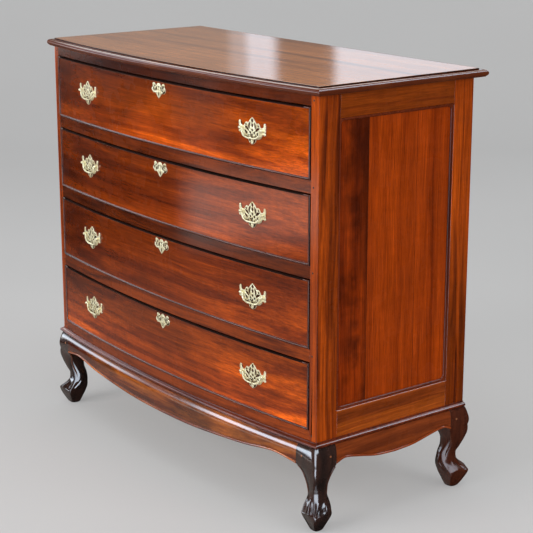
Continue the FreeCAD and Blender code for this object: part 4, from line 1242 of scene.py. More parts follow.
# ---- aprons ----------------------------------------------------------------------------------------
@dataclass
class Aprons:
    """The cushioned aprons with a small bead along their shaped lower edges."""

    shop: Workshop
    reach: float = 12 * MM
    crown_z: float = 177 * MM
    upper_radius: float = 29 * MM
    lower_radius: float = 64 * MM
    top_z: float = 215 * MM
    ledge_z: float = 202 * MM
    thickness: float = 22 * MM
    block: float = 49 * MM
    bead_height: float = 5.6 * MM
    bead_reach: float = 2.3 * MM
    quirk: float = 1.3 * MM
    bead_points: int = 9
    stations: int = 180
    side_stations: int = 90
    # distance from the middle and height of points of each lower edge; the last height is at the leg block
    front_line: Sequence[tuple[float, float]] = ((0.0, 138), (120, 139.5), (230, 146), (330, 153.5),
                                                 (425, 164))
    front_end: float = 156
    side_line: Sequence[tuple[float, float]] = ((0.0, 144.5), (55, 148), (110, 159.5), (150, 166))
    side_end: float = 158

    @staticmethod
    def edge(line: Sequence[tuple[float, float]], half: float, end: float, at: Array) -> Array:
        """Height of a lower edge.

        Args:
            line: its points, in millimetres.
            half: where the leg block starts.
            end: its height there, in millimetres.
            at: places along it, from its middle.

        Returns:
            The height at each place.
        """
        keys, heights = [place * MM for place, _ in line], [height * MM for _, height in line]
        return through(keys + [half], heights + [end * MM], np.abs(at))

    def out(self, z: Array) -> Array:
        """How far the cushion stands out: two quarter ellipses that meet at the crown."""
        radius = np.where(z > self.crown_z, self.upper_radius, self.lower_radius)
        return self.reach * np.sqrt(np.clip(1 - ((z - self.crown_z) / radius) ** 2, 0, 1))

    def section(self, low: Array) -> tuple[Array, Array]:
        """Outer profile from the lower edge up, for every station.

        A bead swells over the lower edge and ends in a fine quirk; above it the cushion runs to the ledge.

        Args:
            low: height of the lower edge at each station.

        Returns:
            Offset and height, stations by points.
        """
        rise = np.linspace(0, 1, self.bead_points)[None, :]
        bead_z = low[:, None] + self.bead_height * rise
        swell = self.bead_reach * np.sqrt(np.clip(1 - (2 * rise - 1) ** 2, 0, 1))
        bead_out = self.out(bead_z) + swell - self.quirk * np.clip(4 * rise - 3, 0, 1)
        up = np.linspace(0.035, 1, 22)[None, :]
        start = low[:, None] + self.bead_height
        face_z = start + (self.ledge_z - start) * up
        face_out = self.out(face_z)
        out = np.concatenate([bead_out, face_out, np.zeros((len(low), 2))], axis=1)
        upper = np.broadcast_to([self.ledge_z, self.top_z], (len(low), 2))
        return out, np.concatenate([bead_z, face_z, upper], axis=1)

    def paint_bead_highlight(self, obj: bpy.types.Object, columns: int) -> None:
        """Makes the bead's points light and the rest darker: a painted highlight along the bead.

        Args:
            obj: an apron whose rows hold this many points, the bead's first.
            columns: points in a row.
        """
        place = np.arange(len(obj.data.vertices)) % columns
        set_tones(obj, np.where(place < self.bead_points - 1, 1.0, 0.35))

    def front(self) -> None:
        """The front apron, bowed with the carcass; each section lies in a plane across the chest."""
        half = PLAN.half - self.block
        x = np.linspace(-half, half, self.stations)
        low = self.edge(self.front_line, half, self.front_end, x)
        out, z = self.section(low)
        xs = np.broadcast_to(x[:, None], out.shape)
        outer = PLAN.points(xs, z, out)
        inner_z = np.stack([np.full_like(low, self.top_z), low], 1)
        xi = np.broadcast_to(x[:, None], inner_z.shape)
        inner = PLAN.points(xi, inner_z, -self.thickness)
        obj = solid("front_apron_shaped", *sleeve(np.concatenate([outer, inner], axis=1)), sharp=35.0)
        self.paint_bead_highlight(obj, out.shape[1] + 2)
        self.shop.fit_piece(obj, "carcass", "apron_polish", "base_wood", ["front_apron"])

    def sides(self) -> None:
        """Both side aprons, straight, shaped in the same way."""
        middle = (PLAN.corner_y + PLAN.back) / 2
        half = PLAN.depth / 2 - self.block
        s = np.linspace(-half, half, self.side_stations)
        low = self.edge(self.side_line, half, self.side_end, s)
        out, z = self.section(low)
        shells = []
        for sign in (-1, 1):
            ys = np.broadcast_to((middle + s)[:, None], out.shape)
            outer = np.stack([sign * (PLAN.half + out), ys, z], -1)
            inner_z = np.stack([np.full_like(low, self.top_z), low], 1)
            yi = np.broadcast_to((middle + s)[:, None], inner_z.shape)
            inner = np.stack([np.full_like(inner_z, sign * (PLAN.half - self.thickness)), yi, inner_z], -1)
            shells.append(sleeve(np.concatenate([outer, inner], axis=1)))
        obj = solid("side_aprons_shaped", *merged(shells), sharp=35.0)
        self.paint_bead_highlight(obj, out.shape[1] + 2)
        self.shop.fit_piece(obj, "carcass", "side_apron_polish", "base_wood", ["side_aprons"])


# ---- legs ------------------------------------------------------------------------------------------
@dataclass
class CabrioleLegs:
    """Cabriole legs: a square block, a knee with an arris, a slim ankle and a faceted claw foot."""

    shop: Workshop
    aprons: Aprons
    foot_inset: float = 13 * MM
    ridge: float = 45 * MM
    scallop: float = 7 * MM
    toe: float = 3.2 * MM
    edge_bead: float = 2.2 * MM
    knee_swell: float = 3.6 * MM
    knee_z: float = 168 * MM
    knee_reach: float = 15 * MM
    scallop_reach: float = 16 * MM
    carved_below: float = 95 * MM
    toe_z: float = 55 * MM
    toe_reach: float = 13 * MM
    bead_from: float = 78 * MM
    bead_to: float = 150 * MM
    bow_from: float = 130 * MM
    bow_over: float = 26 * MM
    rows: int = 150
    per_side: int = 24
    leg_peg_z: float = 179 * MM
    post_peg_z: Sequence[float] = (226.5 * MM, 410.75 * MM, 597.75 * MM, 784.75 * MM, 969.25 * MM)
    keys: Array = field(default_factory=lambda: np.array([
        # z, outer arris, side along, side across, inner corner, swell of a side,
        # softness of the outer arris, the sides and the inner corner; in mm, the swell in shares
        (0.0, 10.5, -1.5, 11.5, -17.0, 0.06, 6.0, 5.0, 6.0),
        (2.0, 14.2, -1.5, 14.8, -20.4, 0.06, 7.0, 5.0, 7.0),
        (6.0, 18.6, -1.5, 17.4, -23.2, 0.06, 8.0, 4.5, 8.0),
        (20.0, 29.0, -1.2, 25.0, -30.5, 0.06, 9.0, 4.0, 9.0),
        (36.0, 37.0, -1.0, 32.6, -38.0, 0.06, 8.0, 3.5, 10.0),
        (45.0, 38.6, -2.0, 34.6, -41.0, 0.07, 6.0, 3.0, 11.0),
        (50.0, 32.5, -4.5, 33.0, -42.6, 0.08, 4.0, 3.5, 11.0),
        (58.0, 18.5, -11.0, 29.8, -43.6, 0.12, 3.5, 5.0, 11.0),
        (66.0, 10.0, -16.0, 26.4, -43.4, 0.17, 4.0, 6.5, 11.0),
        (75.0, 6.9, -17.8, 23.2, -42.0, 0.20, 5.0, 7.5, 11.0),
        (86.0, 6.5, -17.2, 20.8, -40.0, 0.21, 6.0, 8.0, 11.0),
        (103.0, 15.5, -10.4, 21.4, -35.0, 0.19, 6.0, 7.0, 11.0),
        (121.0, 25.6, -6.4, 25.8, -34.0, 0.15, 7.0, 5.0, 10.0),
        (140.0, 34.4, -8.6, 34.0, -41.5, 0.08, 9.0, 2.6, 7.0),
    ]))

    def block_rows(self) -> tuple[Array, Array]:
        """Heights in the block, and how far its outer faces stand out at each.

        Returns:
            The heights and the offsets.
        """
        z = np.linspace(156 * MM, self.aprons.ledge_z, 14)
        z = np.concatenate([z, [self.aprons.ledge_z, self.aprons.top_z]])
        out = self.aprons.out(z)
        out[-2:] = 0.0
        return z, out

    def knee(self, z: Array) -> Array:
        """How far the outer corner of the block swells at each height."""
        return self.knee_swell * np.exp(-((z - self.knee_z) / self.knee_reach) ** 2)

    def rings(self) -> tuple[Array, list[Array]]:
        """All rings of the leg from the floor up, as (along, across) on the outward diagonal.

        The four corners of each ring are keyed by height and read from smooth curves. Between two corners
        lie points of a circular swell, and each corner is cut back by its softness and rounded by an arc of
        a parabola.

        Returns:
            Rows by ring points by (x, y, z), for the right front leg, from the foot's middle, and its edge
            beads.
        """
        z_block, out = self.block_rows()
        knee = self.knee(z_block) * (out > 0)
        x1 = self.foot_inset + out
        y1 = -self.foot_inset - out
        inner = self.aprons.block - self.foot_inset
        corners = np.stack([
            np.stack([x1 + knee, y1 - knee], -1), np.stack([x1, np.full_like(x1, inner)], -1),
            np.stack([np.full_like(x1, -inner), np.full_like(x1, inner)], -1),
            np.stack([np.full_like(x1, -inner), y1], -1)], 1)
        block_frame = np.stack([(corners[..., 0] - corners[..., 1]) * ROOT_HALF,
                                (corners[..., 0] + corners[..., 1]) * ROOT_HALF], -1)
        z_low = np.linspace(0, 152 * MM, self.rows)
        edge = block_frame[0]
        k = self.keys[:, 0] * MM
        table = self.keys[:, 1:].copy()
        table[:, [0, 1, 2, 3, 5, 6, 7]] *= MM
        last = np.array([edge[0, 0], edge[1, 0], edge[1, 1], edge[2, 0], 0.0, 13.0 * MM, 0.6 * MM, 2.0 * MM])
        k = np.append(k, z_block[0])
        table = np.vstack([table, last])
        read = np.stack([through(k, table[:, c], z_low) for c in range(table.shape[1])], 1)
        low_frame = np.stack([
            np.stack([read[:, 0], 0 * z_low], -1), np.stack([read[:, 1], read[:, 2]], -1),
            np.stack([read[:, 3], 0 * z_low], -1), np.stack([read[:, 1], -read[:, 2]], -1)], 1)
        frame = np.concatenate([low_frame, block_frame])
        z = np.concatenate([z_low, z_block])
        swell = np.concatenate([read[:, 4], np.zeros(len(z_block))])
        soft = np.stack([read[:, 5], read[:, 6], read[:, 7], read[:, 6]], 1)
        block_soft = np.tile([15.0 * MM, 0.4 * MM, 2.0 * MM, 0.4 * MM], (len(z_block), 1))
        block_soft[out == 0, 0] = 0.6 * MM
        return self.around(frame, swell, np.concatenate([soft, block_soft]), z), self.edge_beads(low_frame,
                                                                                                   z_low)

    def edge_beads(self, corners: Array, z: Array) -> list[Array]:
        """Thin beads that run on from the aprons down both side corners and die out over the ankle.

        Args:
            corners: rows by 4 by 2 corners on the outward diagonal.
            z: rows; heights.

        Returns:
            Two grids of rows by ring points by 3.
        """
        rows = (z > self.bead_from) & (z < self.bead_to)
        radius = self.edge_bead * np.clip((z[rows] - 76 * MM) / (20 * MM), 0.15, 1)
        turn = np.arange(8) * math.pi / 4
        beads = []
        for corner in (1, 3):
            along, across = corners[rows, corner, 0], corners[rows, corner, 1] * 0.995
            x, y = (along + across) * ROOT_HALF, (across - along) * ROOT_HALF
            beads.append(np.stack([x[:, None] + radius[:, None] * np.cos(turn),
                                   y[:, None] + radius[:, None] * np.sin(turn),
                                   np.repeat(z[rows][:, None], 8, 1)], -1))
        return beads

    def around(self, corners: Array, swell: Array, soft: Array, z: Array) -> Array:
        """Closed rings through four soft corners with swelling sides.

        Args:
            corners: rows by 4 by 2.
            swell: rows; how far a side swells, in shares of its length.
            soft: rows by 4; how far each corner is cut back.
            z: rows; heights.

        Returns:
            Rows by ring points by 3, with the diagonal turned into x and y.
        """
        middle = corners.mean(1, keepdims=True)
        following = np.roll(corners, -1, axis=1)
        run = following - corners
        length = np.linalg.norm(run, axis=-1, keepdims=True)
        outward = unit((corners + following) / 2 - middle)
        bulge = outward * length * swell[:, None, None]
        rounds = 7
        t = np.linspace(0, 1, self.per_side)[None, None, :, None]
        cut_a = np.minimum(soft[..., None] / length, 0.42)[:, :, None, :]
        cut_b = np.minimum(np.roll(soft, -1, axis=1)[..., None] / length, 0.42)[:, :, None, :]
        s = cut_a + (1 - cut_a - cut_b) * t
        side = corners[:, :, None] + run[:, :, None] * s + bulge[:, :, None] * 4 * s * (1 - s)
        start, end = side[:, :, -1], np.roll(side[:, :, 0], -1, axis=1)
        u = np.linspace(0, 1, rounds + 2)[1:-1][None, None, :, None]
        blend_points = ((1 - u) ** 2 * start[:, :, None] + 2 * u * (1 - u) * following[:, :, None]
                        + u ** 2 * end[:, :, None])
        ring = np.concatenate([side, blend_points], axis=2)
        rows = ring.shape[0]
        ring = ring.reshape(rows, -1, 2)
        x = (ring[..., 0] + ring[..., 1]) * ROOT_HALF
        y = (-ring[..., 0] + ring[..., 1]) * ROOT_HALF
        return np.stack([x, y, np.broadcast_to(z[:, None], x.shape)], -1)

    def claws(self, ring: Array) -> Array:
        """Scallops the foot's ridge and raises toes on it.

        Each column of points reads the rings from a height moved by the scallop, which is greatest on the
        corners, and toes push the points outwards by a cosine round the foot.

        Args:
            ring: rows by ring points by 3.

        Returns:
            The carved rings.
        """
        columns = ring.shape[1]
        share = (np.arange(columns) + 0.5) / columns * 4
        dip = np.abs(np.cos(math.pi * share)) ** 1.4
        z = ring[:, 0, 2]
        rows = np.arange(len(z))
        near = np.exp(-((z - self.ridge) / self.scallop_reach) ** 2)[:, None]
        source = z[:, None] + self.scallop * (dip[None, :] - 0.35) * near
        place = np.interp(source.ravel(), z[: self.rows], rows[: self.rows]).reshape(source.shape)
        place = np.where((z < self.carved_below)[:, None] & (rows < self.rows)[:, None], place, rows[:, None])
        low = np.clip(np.floor(place).astype(int), 0, len(z) - 2)
        part = (place - low)[..., None]
        column = np.arange(columns)[None, :]
        carved = ring.copy()
        read = ring[low, column] * (1 - part) + ring[low + 1, column] * part
        carved[..., :2] = read[..., :2]
        upper = np.exp(-((z - self.toe_z) / self.toe_reach) ** 2)[:, None]
        push = self.toe * (np.abs(np.cos(2 * math.pi * share)) ** 3 - 0.3)[None, :] * upper
        centre = carved[..., :2].mean(1, keepdims=True)
        carved[..., :2] += unit(carved[..., :2] - centre) * push[..., None]
        return carved

    def pair(self, parts: Sequence[Array], front: bool) -> Shell:
        """Grids of the right front leg put in place on both sides, at the front or the back."""
        return merged([sleeve(self.stood(part, right, front)) for right in (False, True) for part in parts])

    def stood(self, grid: Array, right: bool, front: bool) -> Array:
        """A leg's grid moved to its corner; the front legs' blocks follow the bow.

        Args:
            grid: rows by ring points by 3, from the foot's middle.
            right: True for the chest's right.
            front: True for a front leg.

        Returns:
            The grid in its place.
        """
        grid = grid.copy()
        grid[..., 0] += PLAN.half - self.foot_inset
        if front:
            grid[..., 1] += PLAN.corner_y + self.foot_inset
            bow = PLAN.y(grid[..., 0]) - PLAN.corner_y
            ahead = np.clip((PLAN.corner_y + self.aprons.block - grid[..., 1]) / self.aprons.block, 0, 1)
            fade = np.clip((grid[..., 2] - self.bow_from) / self.bow_over, 0, 1)
            grid[..., 1] += bow * ahead * fade * np.where(grid[..., 2] > self.bead_to, 1, fade)
        else:
            grid[..., 1] = PLAN.back - self.foot_inset - grid[..., 1]
        if not right:
            grid[..., 0] *= -1
        return grid

    def build(self) -> None:
        """Makes both pairs of legs and the beads down their edges."""
        grid, beads = self.rings()
        for front, node, finish in ((True, "front_legs", "leg_polish"),
                                    (False, "back_legs", "back_leg_polish")):
            obj = solid(node + "_carved", *self.pair([self.claws(grid)], front), 0.5, 42.0)
            self.shop.fit_piece(obj, "carcass", finish, "leg_wood", [node])
            obj = solid(node + "_beads", *self.pair(beads, front), 0.8, 42.0)
            self.shop.fit_piece(obj, "carcass", "leg_bead_highlight", "leg_wood")

    def pegs(self) -> None:
        """Round pegs with slightly domed ends, in the leg blocks and the front posts."""
        light, dark = [], []
        block, inset, z_leg = self.aprons.block, 18 * MM, self.leg_peg_z
        at_leg = np.array([z_leg])
        share = (block - 31 * MM) / (block + self.aprons.reach)
        out = float(self.aprons.out(at_leg)[0]) + share * float(self.knee(at_leg)[0]) + 0.35 * MM
        x_leg, x_post = PLAN.half - block + inset, PLAN.half - 15 * MM
        leg_peg, post_peg = peg_profile(2.5 * MM, 14 * MM), peg_profile(2.4 * MM, 25 * MM)
        ahead = Vector((0, -1, 0))
        for side in (-1, 1):
            light.append(lathe(leg_peg, Vector((side * x_leg, PLAN.y_at(x_leg, out), z_leg)), ahead))
            for y in (PLAN.corner_y + block - inset, PLAN.back - block + inset):
                at = Vector((side * (PLAN.half + out), y, z_leg))
                light.append(lathe(leg_peg, at, Vector((side, 0, 0))))
            for z in self.post_peg_z:
                at = Vector((side * x_post, PLAN.y_at(x_post) - 0.3 * MM, z))
                dark.append(lathe(post_peg, at, ahead))
        for name, shells, finish in (("leg_pegs", light, "peg_wood"), ("post_pegs", dark, "dark_peg_wood")):
            obj = solid(name, *merged(shells))
            self.shop.fit_piece(obj, "carcass", finish, "peg_wood", ["pegs"])

def peg_profile(radius: float, length: float) -> Array:
    """Radius and place along the axis of a domed peg, from its buried end to its tip.

    Args:
        radius: the peg's radius.
        length: how deep it is buried.

    Returns:
        Rows of (radius, place along the axis).
    """
    turn = np.linspace(0, math.pi / 2, 5)[:-1]
    dome = np.stack([radius * np.cos(turn), 0.3 * MM * np.sin(turn)], -1) - [0, 0.3 * MM]
    return np.concatenate([[[radius, -length]], dome])


def lathe(profile: Array, at: Vector, axis: Vector, steps: int = 20) -> Shell:
    """Turns a profile about an axis: each point goes round at its radius and its place along the axis.

    Args:
        profile: rows of (radius, place along the axis).
        at: where place 0 is.
        axis: direction of the axis.
        steps: points round the axis.

    Returns:
        Points and faces of the closed shell.
    """
    turn = np.arange(steps) * 2 * math.pi / steps
    side = axis.orthogonal().normalized()
    other = axis.cross(side).normalized()
    around = np.cos(turn)[:, None] * np.array(side) + np.sin(turn)[:, None] * np.array(other)
    grid = (np.array(at) + profile[:, 1, None, None] * np.array(axis.normalized())
            + profile[:, 0, None, None] * around[None])
    return sleeve(grid)


# ---- brass -----------------------------------------------------------------------------------------
def arc_run(start: tuple, via: tuple, end: tuple, steps: int = 8) -> Array:
    """Points of a parabola through three points, without the last one.

    Args:
        start: where it starts.
        via: the point that it passes halfway.
        end: where it ends.
        steps: number of points.

    Returns:
        The points.
    """
    s, v, e = (np.array(p, float) for p in (start, via, end))
    control = 2 * v - (s + e) / 2
    t = np.linspace(0, 1, steps, endpoint=False)[:, None]
    return (1 - t) ** 2 * s + 2 * t * (1 - t) * control + t ** 2 * e


def lens(x: float, z: float, length: float, width: float, tilt: float, bend: float = 0.0,
         steps: int = 20) -> Array:
    """A leaf-shaped loop: an ellipse with pinched ends, bent sideways by a parabola and tilted.

    Args:
        x: middle across.
        z: middle height.
        length: half its length.
        width: half its width.
        tilt: degrees from upright.
        bend: sideways bow of its middle line.
        steps: points round it.

    Returns:
        The loop.
    """
    t = np.arange(steps) * 2 * math.pi / steps
    up = length * np.cos(t)
    side = width * np.sin(t) * np.abs(np.sin(t)) ** 0.25 + bend * (1 - (up / length) ** 2)
    sine, cosine = math.sin(math.radians(tilt)), math.cos(math.radians(tilt))
    return np.stack([x + side * cosine + up * sine, z - side * sine + up * cosine], -1)


@dataclass(frozen=True)
class PullPattern:
    """Outline and piercings of a back plate or escutcheon in millimetres: right half, then mirrored."""

    # points of the outline; every second one is passed by an arc, or is None where the run is straight
    line: Sequence[Optional[tuple]]
    piercings: Sequence[tuple]

    def loops(self) -> list[Array]:
        """All loops of the plate, its outline first.

        Returns:
            The loops, in metres.
        """
        half = [arc_run(start, via, end) if via else np.array([start], float)
                for start, via, end in zip(self.line[:-2:2], self.line[1::2], self.line[2::2])]
        right = np.concatenate(half + [np.array([self.line[-1]], float)])
        left = right[1:-1][::-1] * [-1, 1]
        loops = [np.concatenate([right, left]) * MM]
        for x, z, length, width, tilt, bend in self.piercings:
            for s in (1, -1) if x else (1,):
                loops.append(lens(s * x, z, length, width, s * tilt, s * bend) * MM)
        return loops

BACK_PLATE = PullPattern(
    line=[(0, 30), (4.2, 26.8), (8.4, 22.2), (11.8, 18.6), (14.2, 15.8), (19.5, 18.2), (24.6, 12.6),
          (28.2, 9.2), (33.4, 9.6), (36.6, 11.6), (37.6, 17.2), (40.4, 20.6), (43.2, 17.2), (43.7, 12.0),
          (42.4, 6.6), (43.6, 2.6), (41.8, -0.8), (43.8, -4.8), (39.4, -7.0), (35.4, -5.0), (31.6, -7.8),
          (27.0, -14.2), (19.6, -17.0), (14.6, -17.4), (12.2, -20.0), (8.8, -25.8), (0, -30)],
    piercings=[(0.0, 22.4, 4.7, 3.8, 0, 0), (0.0, 12.2, 4.7, 3.4, 0, 0), (8.2, 10.6, 9.0, 2.8, -12, 1.8),
               (20.4, 11.6, 2.8, 2.7, 0, 0), (17.2, 3.9, 8.8, 3.1, 58, -0.6), (19.6, -4.6, 7.6, 2.8, 52, 0),
               (0.0, 1.6, 3.3, 3.0, 0, 0), (6.6, -4.2, 3.7, 2.7, 38, 0), (12.6, -9.8, 4.1, 2.4, 44, 0),
               (0.0, -8.8, 3.8, 3.1, 0, 0), (6.8, -13.6, 2.9, 2.0, 42, 0), (0.0, -22.6, 5.2, 3.9, 0, 0)])

ESCUTCHEON = PullPattern(
    line=[(0, 0), (4.6, -0.8), (7.8, -4.8), (11.2, -6.8), (13.8, -3.6), (19.6, 0.2), (25.4, -3.6),
          (24.0, -7.2), (26.2, -11.0), (29.2, -16.4), (26.0, -21.0), (21.0, -24.2), (16.0, -22.2),
          (10.0, -26.5), (5.4, -31.5), None, (0, -36.0)],
    piercings=[(15.4, -7.4, 4.4, 2.5, -48, 0), (22.4, -14.0, 4.6, 2.6, 12, 0),
               (8.4, -14.0, 7.0, 2.4, -22, 0.8), (15.4, -16.8, 4.6, 2.3, -16, 0),
               (0.0, -26.4, 5.2, 2.5, 0, 0)])

@dataclass
class Brasses:
    """Pierced back plates with their posts, swinging bails, and escutcheons."""

    shop: Workshop
    place_x: float = 342 * MM
    plate: float = 2 * MM
    plate_round: float = 0.55 * MM
    guard: float = 1.6 * MM
    # a thin dark sheet of painted shade behind each plate: its thickness, and its size as a share of the
    # outline
    shade_sheet: float = 0.35 * MM
    shade_sheet_share: float = 0.955
    pull_rise: float = 83.25 * MM
    guard_rise: float = 149 * MM
    spacing: float = 70 * MM
    post_z: float = 4.5 * MM
    stand: float = 6.9 * MM
    knob: float = 3.4 * MM
    front_thickness: float = 24 * MM

    @property
    def angle(self) -> float:
        """Turn of a pull about the vertical, square to the bow."""
        return math.asin(self.place_x / PLAN.radius)


    def in_place(self, side: int, number: int) -> Matrix:
        """Where a pull's own plane goes."""
        at = Vector((side * self.place_x, PLAN.y_at(self.place_x), DRAWERS.foot(number) + self.pull_rise))
        return Matrix.Translation(at) @ Matrix.Rotation(side * self.angle, 4, "Z")

    def pierced(self, name: str, pattern: PullPattern, thickness: float, keyhole: bool,
                plain: bool = False) -> bpy.types.Mesh:
        """A pierced plate with rounded edges: a filled flat curve with thickness, turned upright.

        Args:
            name: the mesh's name.
            pattern: outline and piercings.
            thickness: front to back.
            keyhole: whether a keyhole is cut too.
            plain: leaves the piercings out, and keeps the edges nearly square and inside the outline.

        Returns:
            The mesh, its back in the plane y = 0.
        """
        rounding = 0.1 * MM if plain else self.plate_round
        curve = bpy.data.curves.new(name, "CURVE")
        curve.dimensions = "2D"
        curve.fill_mode = "BOTH"
        curve.extrude = thickness / 2 - rounding
        curve.bevel_depth = rounding
        curve.bevel_resolution = 2
        curve.offset = -rounding
        loops = pattern.loops()
        if plain:
            outline = loops[0]
            middle = (outline.min(axis=0) + outline.max(axis=0)) / 2
            loops = [middle + (outline - middle) * self.shade_sheet_share]
        if keyhole:
            loops.append(keyhole_loop())
        for loop in loops:
            spline = curve.splines.new("POLY")
            spline.points.add(len(loop) - 1)
            flat = np.concatenate([loop, np.zeros((len(loop), 1)), np.ones((len(loop), 1))], 1)
            spline.points.foreach_set("co", flat.ravel())
            spline.use_cyclic_u = True
        carrier = bpy.data.objects.new(name, curve)
        bpy.context.scene.collection.objects.link(carrier)
        bpy.context.view_layer.update()
        mesh = bpy.data.meshes.new_from_object(carrier.evaluated_get(bpy.context.evaluated_depsgraph_get()))
        bpy.data.objects.remove(carrier)
        work = bmesh.new()
        work.from_mesh(mesh)
        bmesh.ops.remove_doubles(work, verts=work.verts, dist=1e-6)
        bmesh.ops.recalc_face_normals(work, faces=work.faces)
        work.to_mesh(mesh)
        work.free()
        mesh.transform(Matrix.Translation((0, -thickness / 2, 0)) @ Matrix.Rotation(math.pi / 2, 4, "X"))
        return mesh

    def post_shells(self) -> list[Shell]:
        """Turned posts with a collar, a neck and a ball, the shanks, and square nuts behind the front.

        Returns:
            Closed shells in the pull's own plane.
        """
        turn = np.linspace(-1.25, math.pi / 2, 14)
        ball = np.stack([self.knob * np.cos(turn), self.stand + self.knob * np.sin(turn)], -1)
        ball[-1, 0] = 0.2 * MM
        collar = np.array([(3.3, -0.1), (3.4, 0.5), (2.6, 0.9), (1.5, 1.2)]) * MM + [0.0, self.plate]
        foot = np.concatenate([[[2.0 * MM, 0.0]], collar])
        profile = np.concatenate([foot, ball])
        seat = self.front_thickness + (self.spacing / 2 + 6 * MM) ** 2 / (2 * PLAN.radius)
        shells = []
        for side in (-1, 1):
            at = Vector((side * self.spacing / 2, 0, self.post_z))
            shells.append(lathe(profile, at, Vector((0, -1, 0)), 28))
            shank = np.array([[1.7 * MM, -1.5 * MM], [1.7 * MM, seat - 0.5 * MM]])
            shells.append(lathe(shank, at, Vector((0, 1, 0)), 12))
            nut = np.array([(5.2, 0.0), (5.9, 0.5), (5.9, 2.3), (5.1, 3.0), (2.0, 3.0)]) * MM
            shells.append(lathe(nut, at + Vector((0, seat, 0)), Vector((0, 1, 0)), 4))
        return shells

    def bail_shell(self) -> Shell:
        """A cast bail: a round section, thicker in the middle, carried along a smooth drooping line.

        The line is read from curves through keyed places; the section lies across the line's direction, and
        its radius follows a curve of its own, with a small bead at either side of the grip.

        Returns:
            Points and faces in the pull's own plane.
        """
        s = np.linspace(0, 1, 97)
        keys = [0.0, 0.05, 0.085, 0.17, 0.25, 0.32, 0.40, 0.5]
        xs = np.array([32.2, 30.2, 28.3, 28.4, 26.6, 21.5, 12.5, 0.0]) * MM
        zs = np.array([0.0, 0.0, -1.6, -7.0, -12.6, -17.2, -19.7, -20.0]) * MM
        m = np.minimum(s, 1 - s)
        x = through(keys, xs, m) * np.where(s > 0.5, -1, 1)
        z = self.post_z + through(keys, zs, m)
        radius = through([0, 0.05, 0.09, 0.17, 0.25, 0.29, 0.33, 0.42, 0.5],
                         np.array([1.3, 1.4, 1.9, 1.9, 1.7, 2.1, 1.7, 2.1, 2.3]) * MM, m)
        line = np.stack([x, np.full_like(x, -self.stand), z], -1)
        run = unit(np.gradient(line, axis=0))
        across = np.cross(run, [0, 1, 0])
        turn = np.arange(16) * 2 * math.pi / 16
        ring = (across[:, None] * np.cos(turn)[None, :, None]
                + np.array([0, 1.0, 0]) * np.sin(turn)[None, :, None])
        grid = line[:, None] + ring * radius[:, None, None]
        return sleeve(grid)

    @staticmethod
    def gather(name: str, meshes: Sequence[tuple[bpy.types.Mesh, Matrix]]) -> bpy.types.Object:
        """Copies of meshes in their places, as one object.

        Args:
            name: the object's name.
            meshes: each mesh with its place.

        Returns:
            The object.
        """
        work = bmesh.new()
        for mesh, place in meshes:
            copy = mesh.copy()
            copy.transform(place)
            work.from_mesh(copy)
        mesh = bpy.data.meshes.new(name)
        work.to_mesh(mesh)
        work.free()
        return finish_mesh(name, mesh, 0.5, 40.0)

    def build(self, number: int) -> None:
        """Makes one drawer's brasses and the sheet of painted shade behind them.

        Args:
            number: the drawer, 1 at the top.
        """
        body = f"drawer_{number}"
        plate = self.pierced("plate", BACK_PLATE, self.plate, False)
        shade_sheet = self.pierced("shade_sheet", BACK_PLATE, self.shade_sheet, False, True)
        posts = solid("posts", *merged(self.post_shells()))
        cast, shade_sheets = [], []
        for side, word in ((-1, "left"), (1, "right")):
            place = self.in_place(side, number)
            cast += [(plate, place), (posts.data, place)]
            shade_sheets.append((shade_sheet, place))
            bail = solid(f"{body}_{word}_bail_cast", *self.bail_shell())
            bail.data.transform(place)
            self.shop.fit_piece(bail, f"{word}_bail_{number}", "old_brass", "brass",
                                [f"{body}_{word}_bail"])
        pulls = self.gather(f"{body}_pulls_cast", cast)
        bpy.data.objects.remove(posts)
        self.shop.fit_piece(pulls, body, "old_brass", "brass", [f"{body}_pull_plates"])
        place = Matrix.Translation((0, PLAN.y_at(0.0), DRAWERS.foot(number) + self.guard_rise))
        guard = self.pierced("escutcheon", ESCUTCHEON, self.guard, True)
        self.shop.fit_piece(self.gather(f"{body}_escutcheon_cast", [(guard, place)]), body, "old_brass",
                            "brass", [f"{body}_escutcheon"])
        shade_sheets.append((self.pierced("escutcheon_shade_sheet", ESCUTCHEON, self.shade_sheet, True, True), place))
        # painted shade: dark sheets under the plates and escutcheon, seen through the piercings
        marks = self.gather(f"{body}_old_polish_behind_brass", shade_sheets)
        self.shop.fit_piece(marks, body, "painted_shade", "drawer_wood")

def keyhole_loop() -> Array:
    """The keyhole's outline: a circle of 2.1 mm over a slot, its eye 9 mm under the top.

    Returns:
        The loop.
    """
    turn = np.radians(np.linspace(-62, 242, 22))
    eye = np.stack([2.1 * np.cos(turn), -9 + 2.1 * np.sin(turn)], -1)
    slot = np.array([[-1.0, -17.0], [1.0, -17.0]])
    return np.concatenate([eye, slot]) * MM


# ---- studio ----------------------------------------------------------------------------------------
@dataclass(frozen=True)
class Pane:
    """A bright patch far away that polish reflects: bearings from the camera's axis in radians, sines up."""

    left: float
    right: float
    low: float
    high: float
    level: float
    soft: float = 0.006
    soft_up: float = 0.02
    cool: bool = False


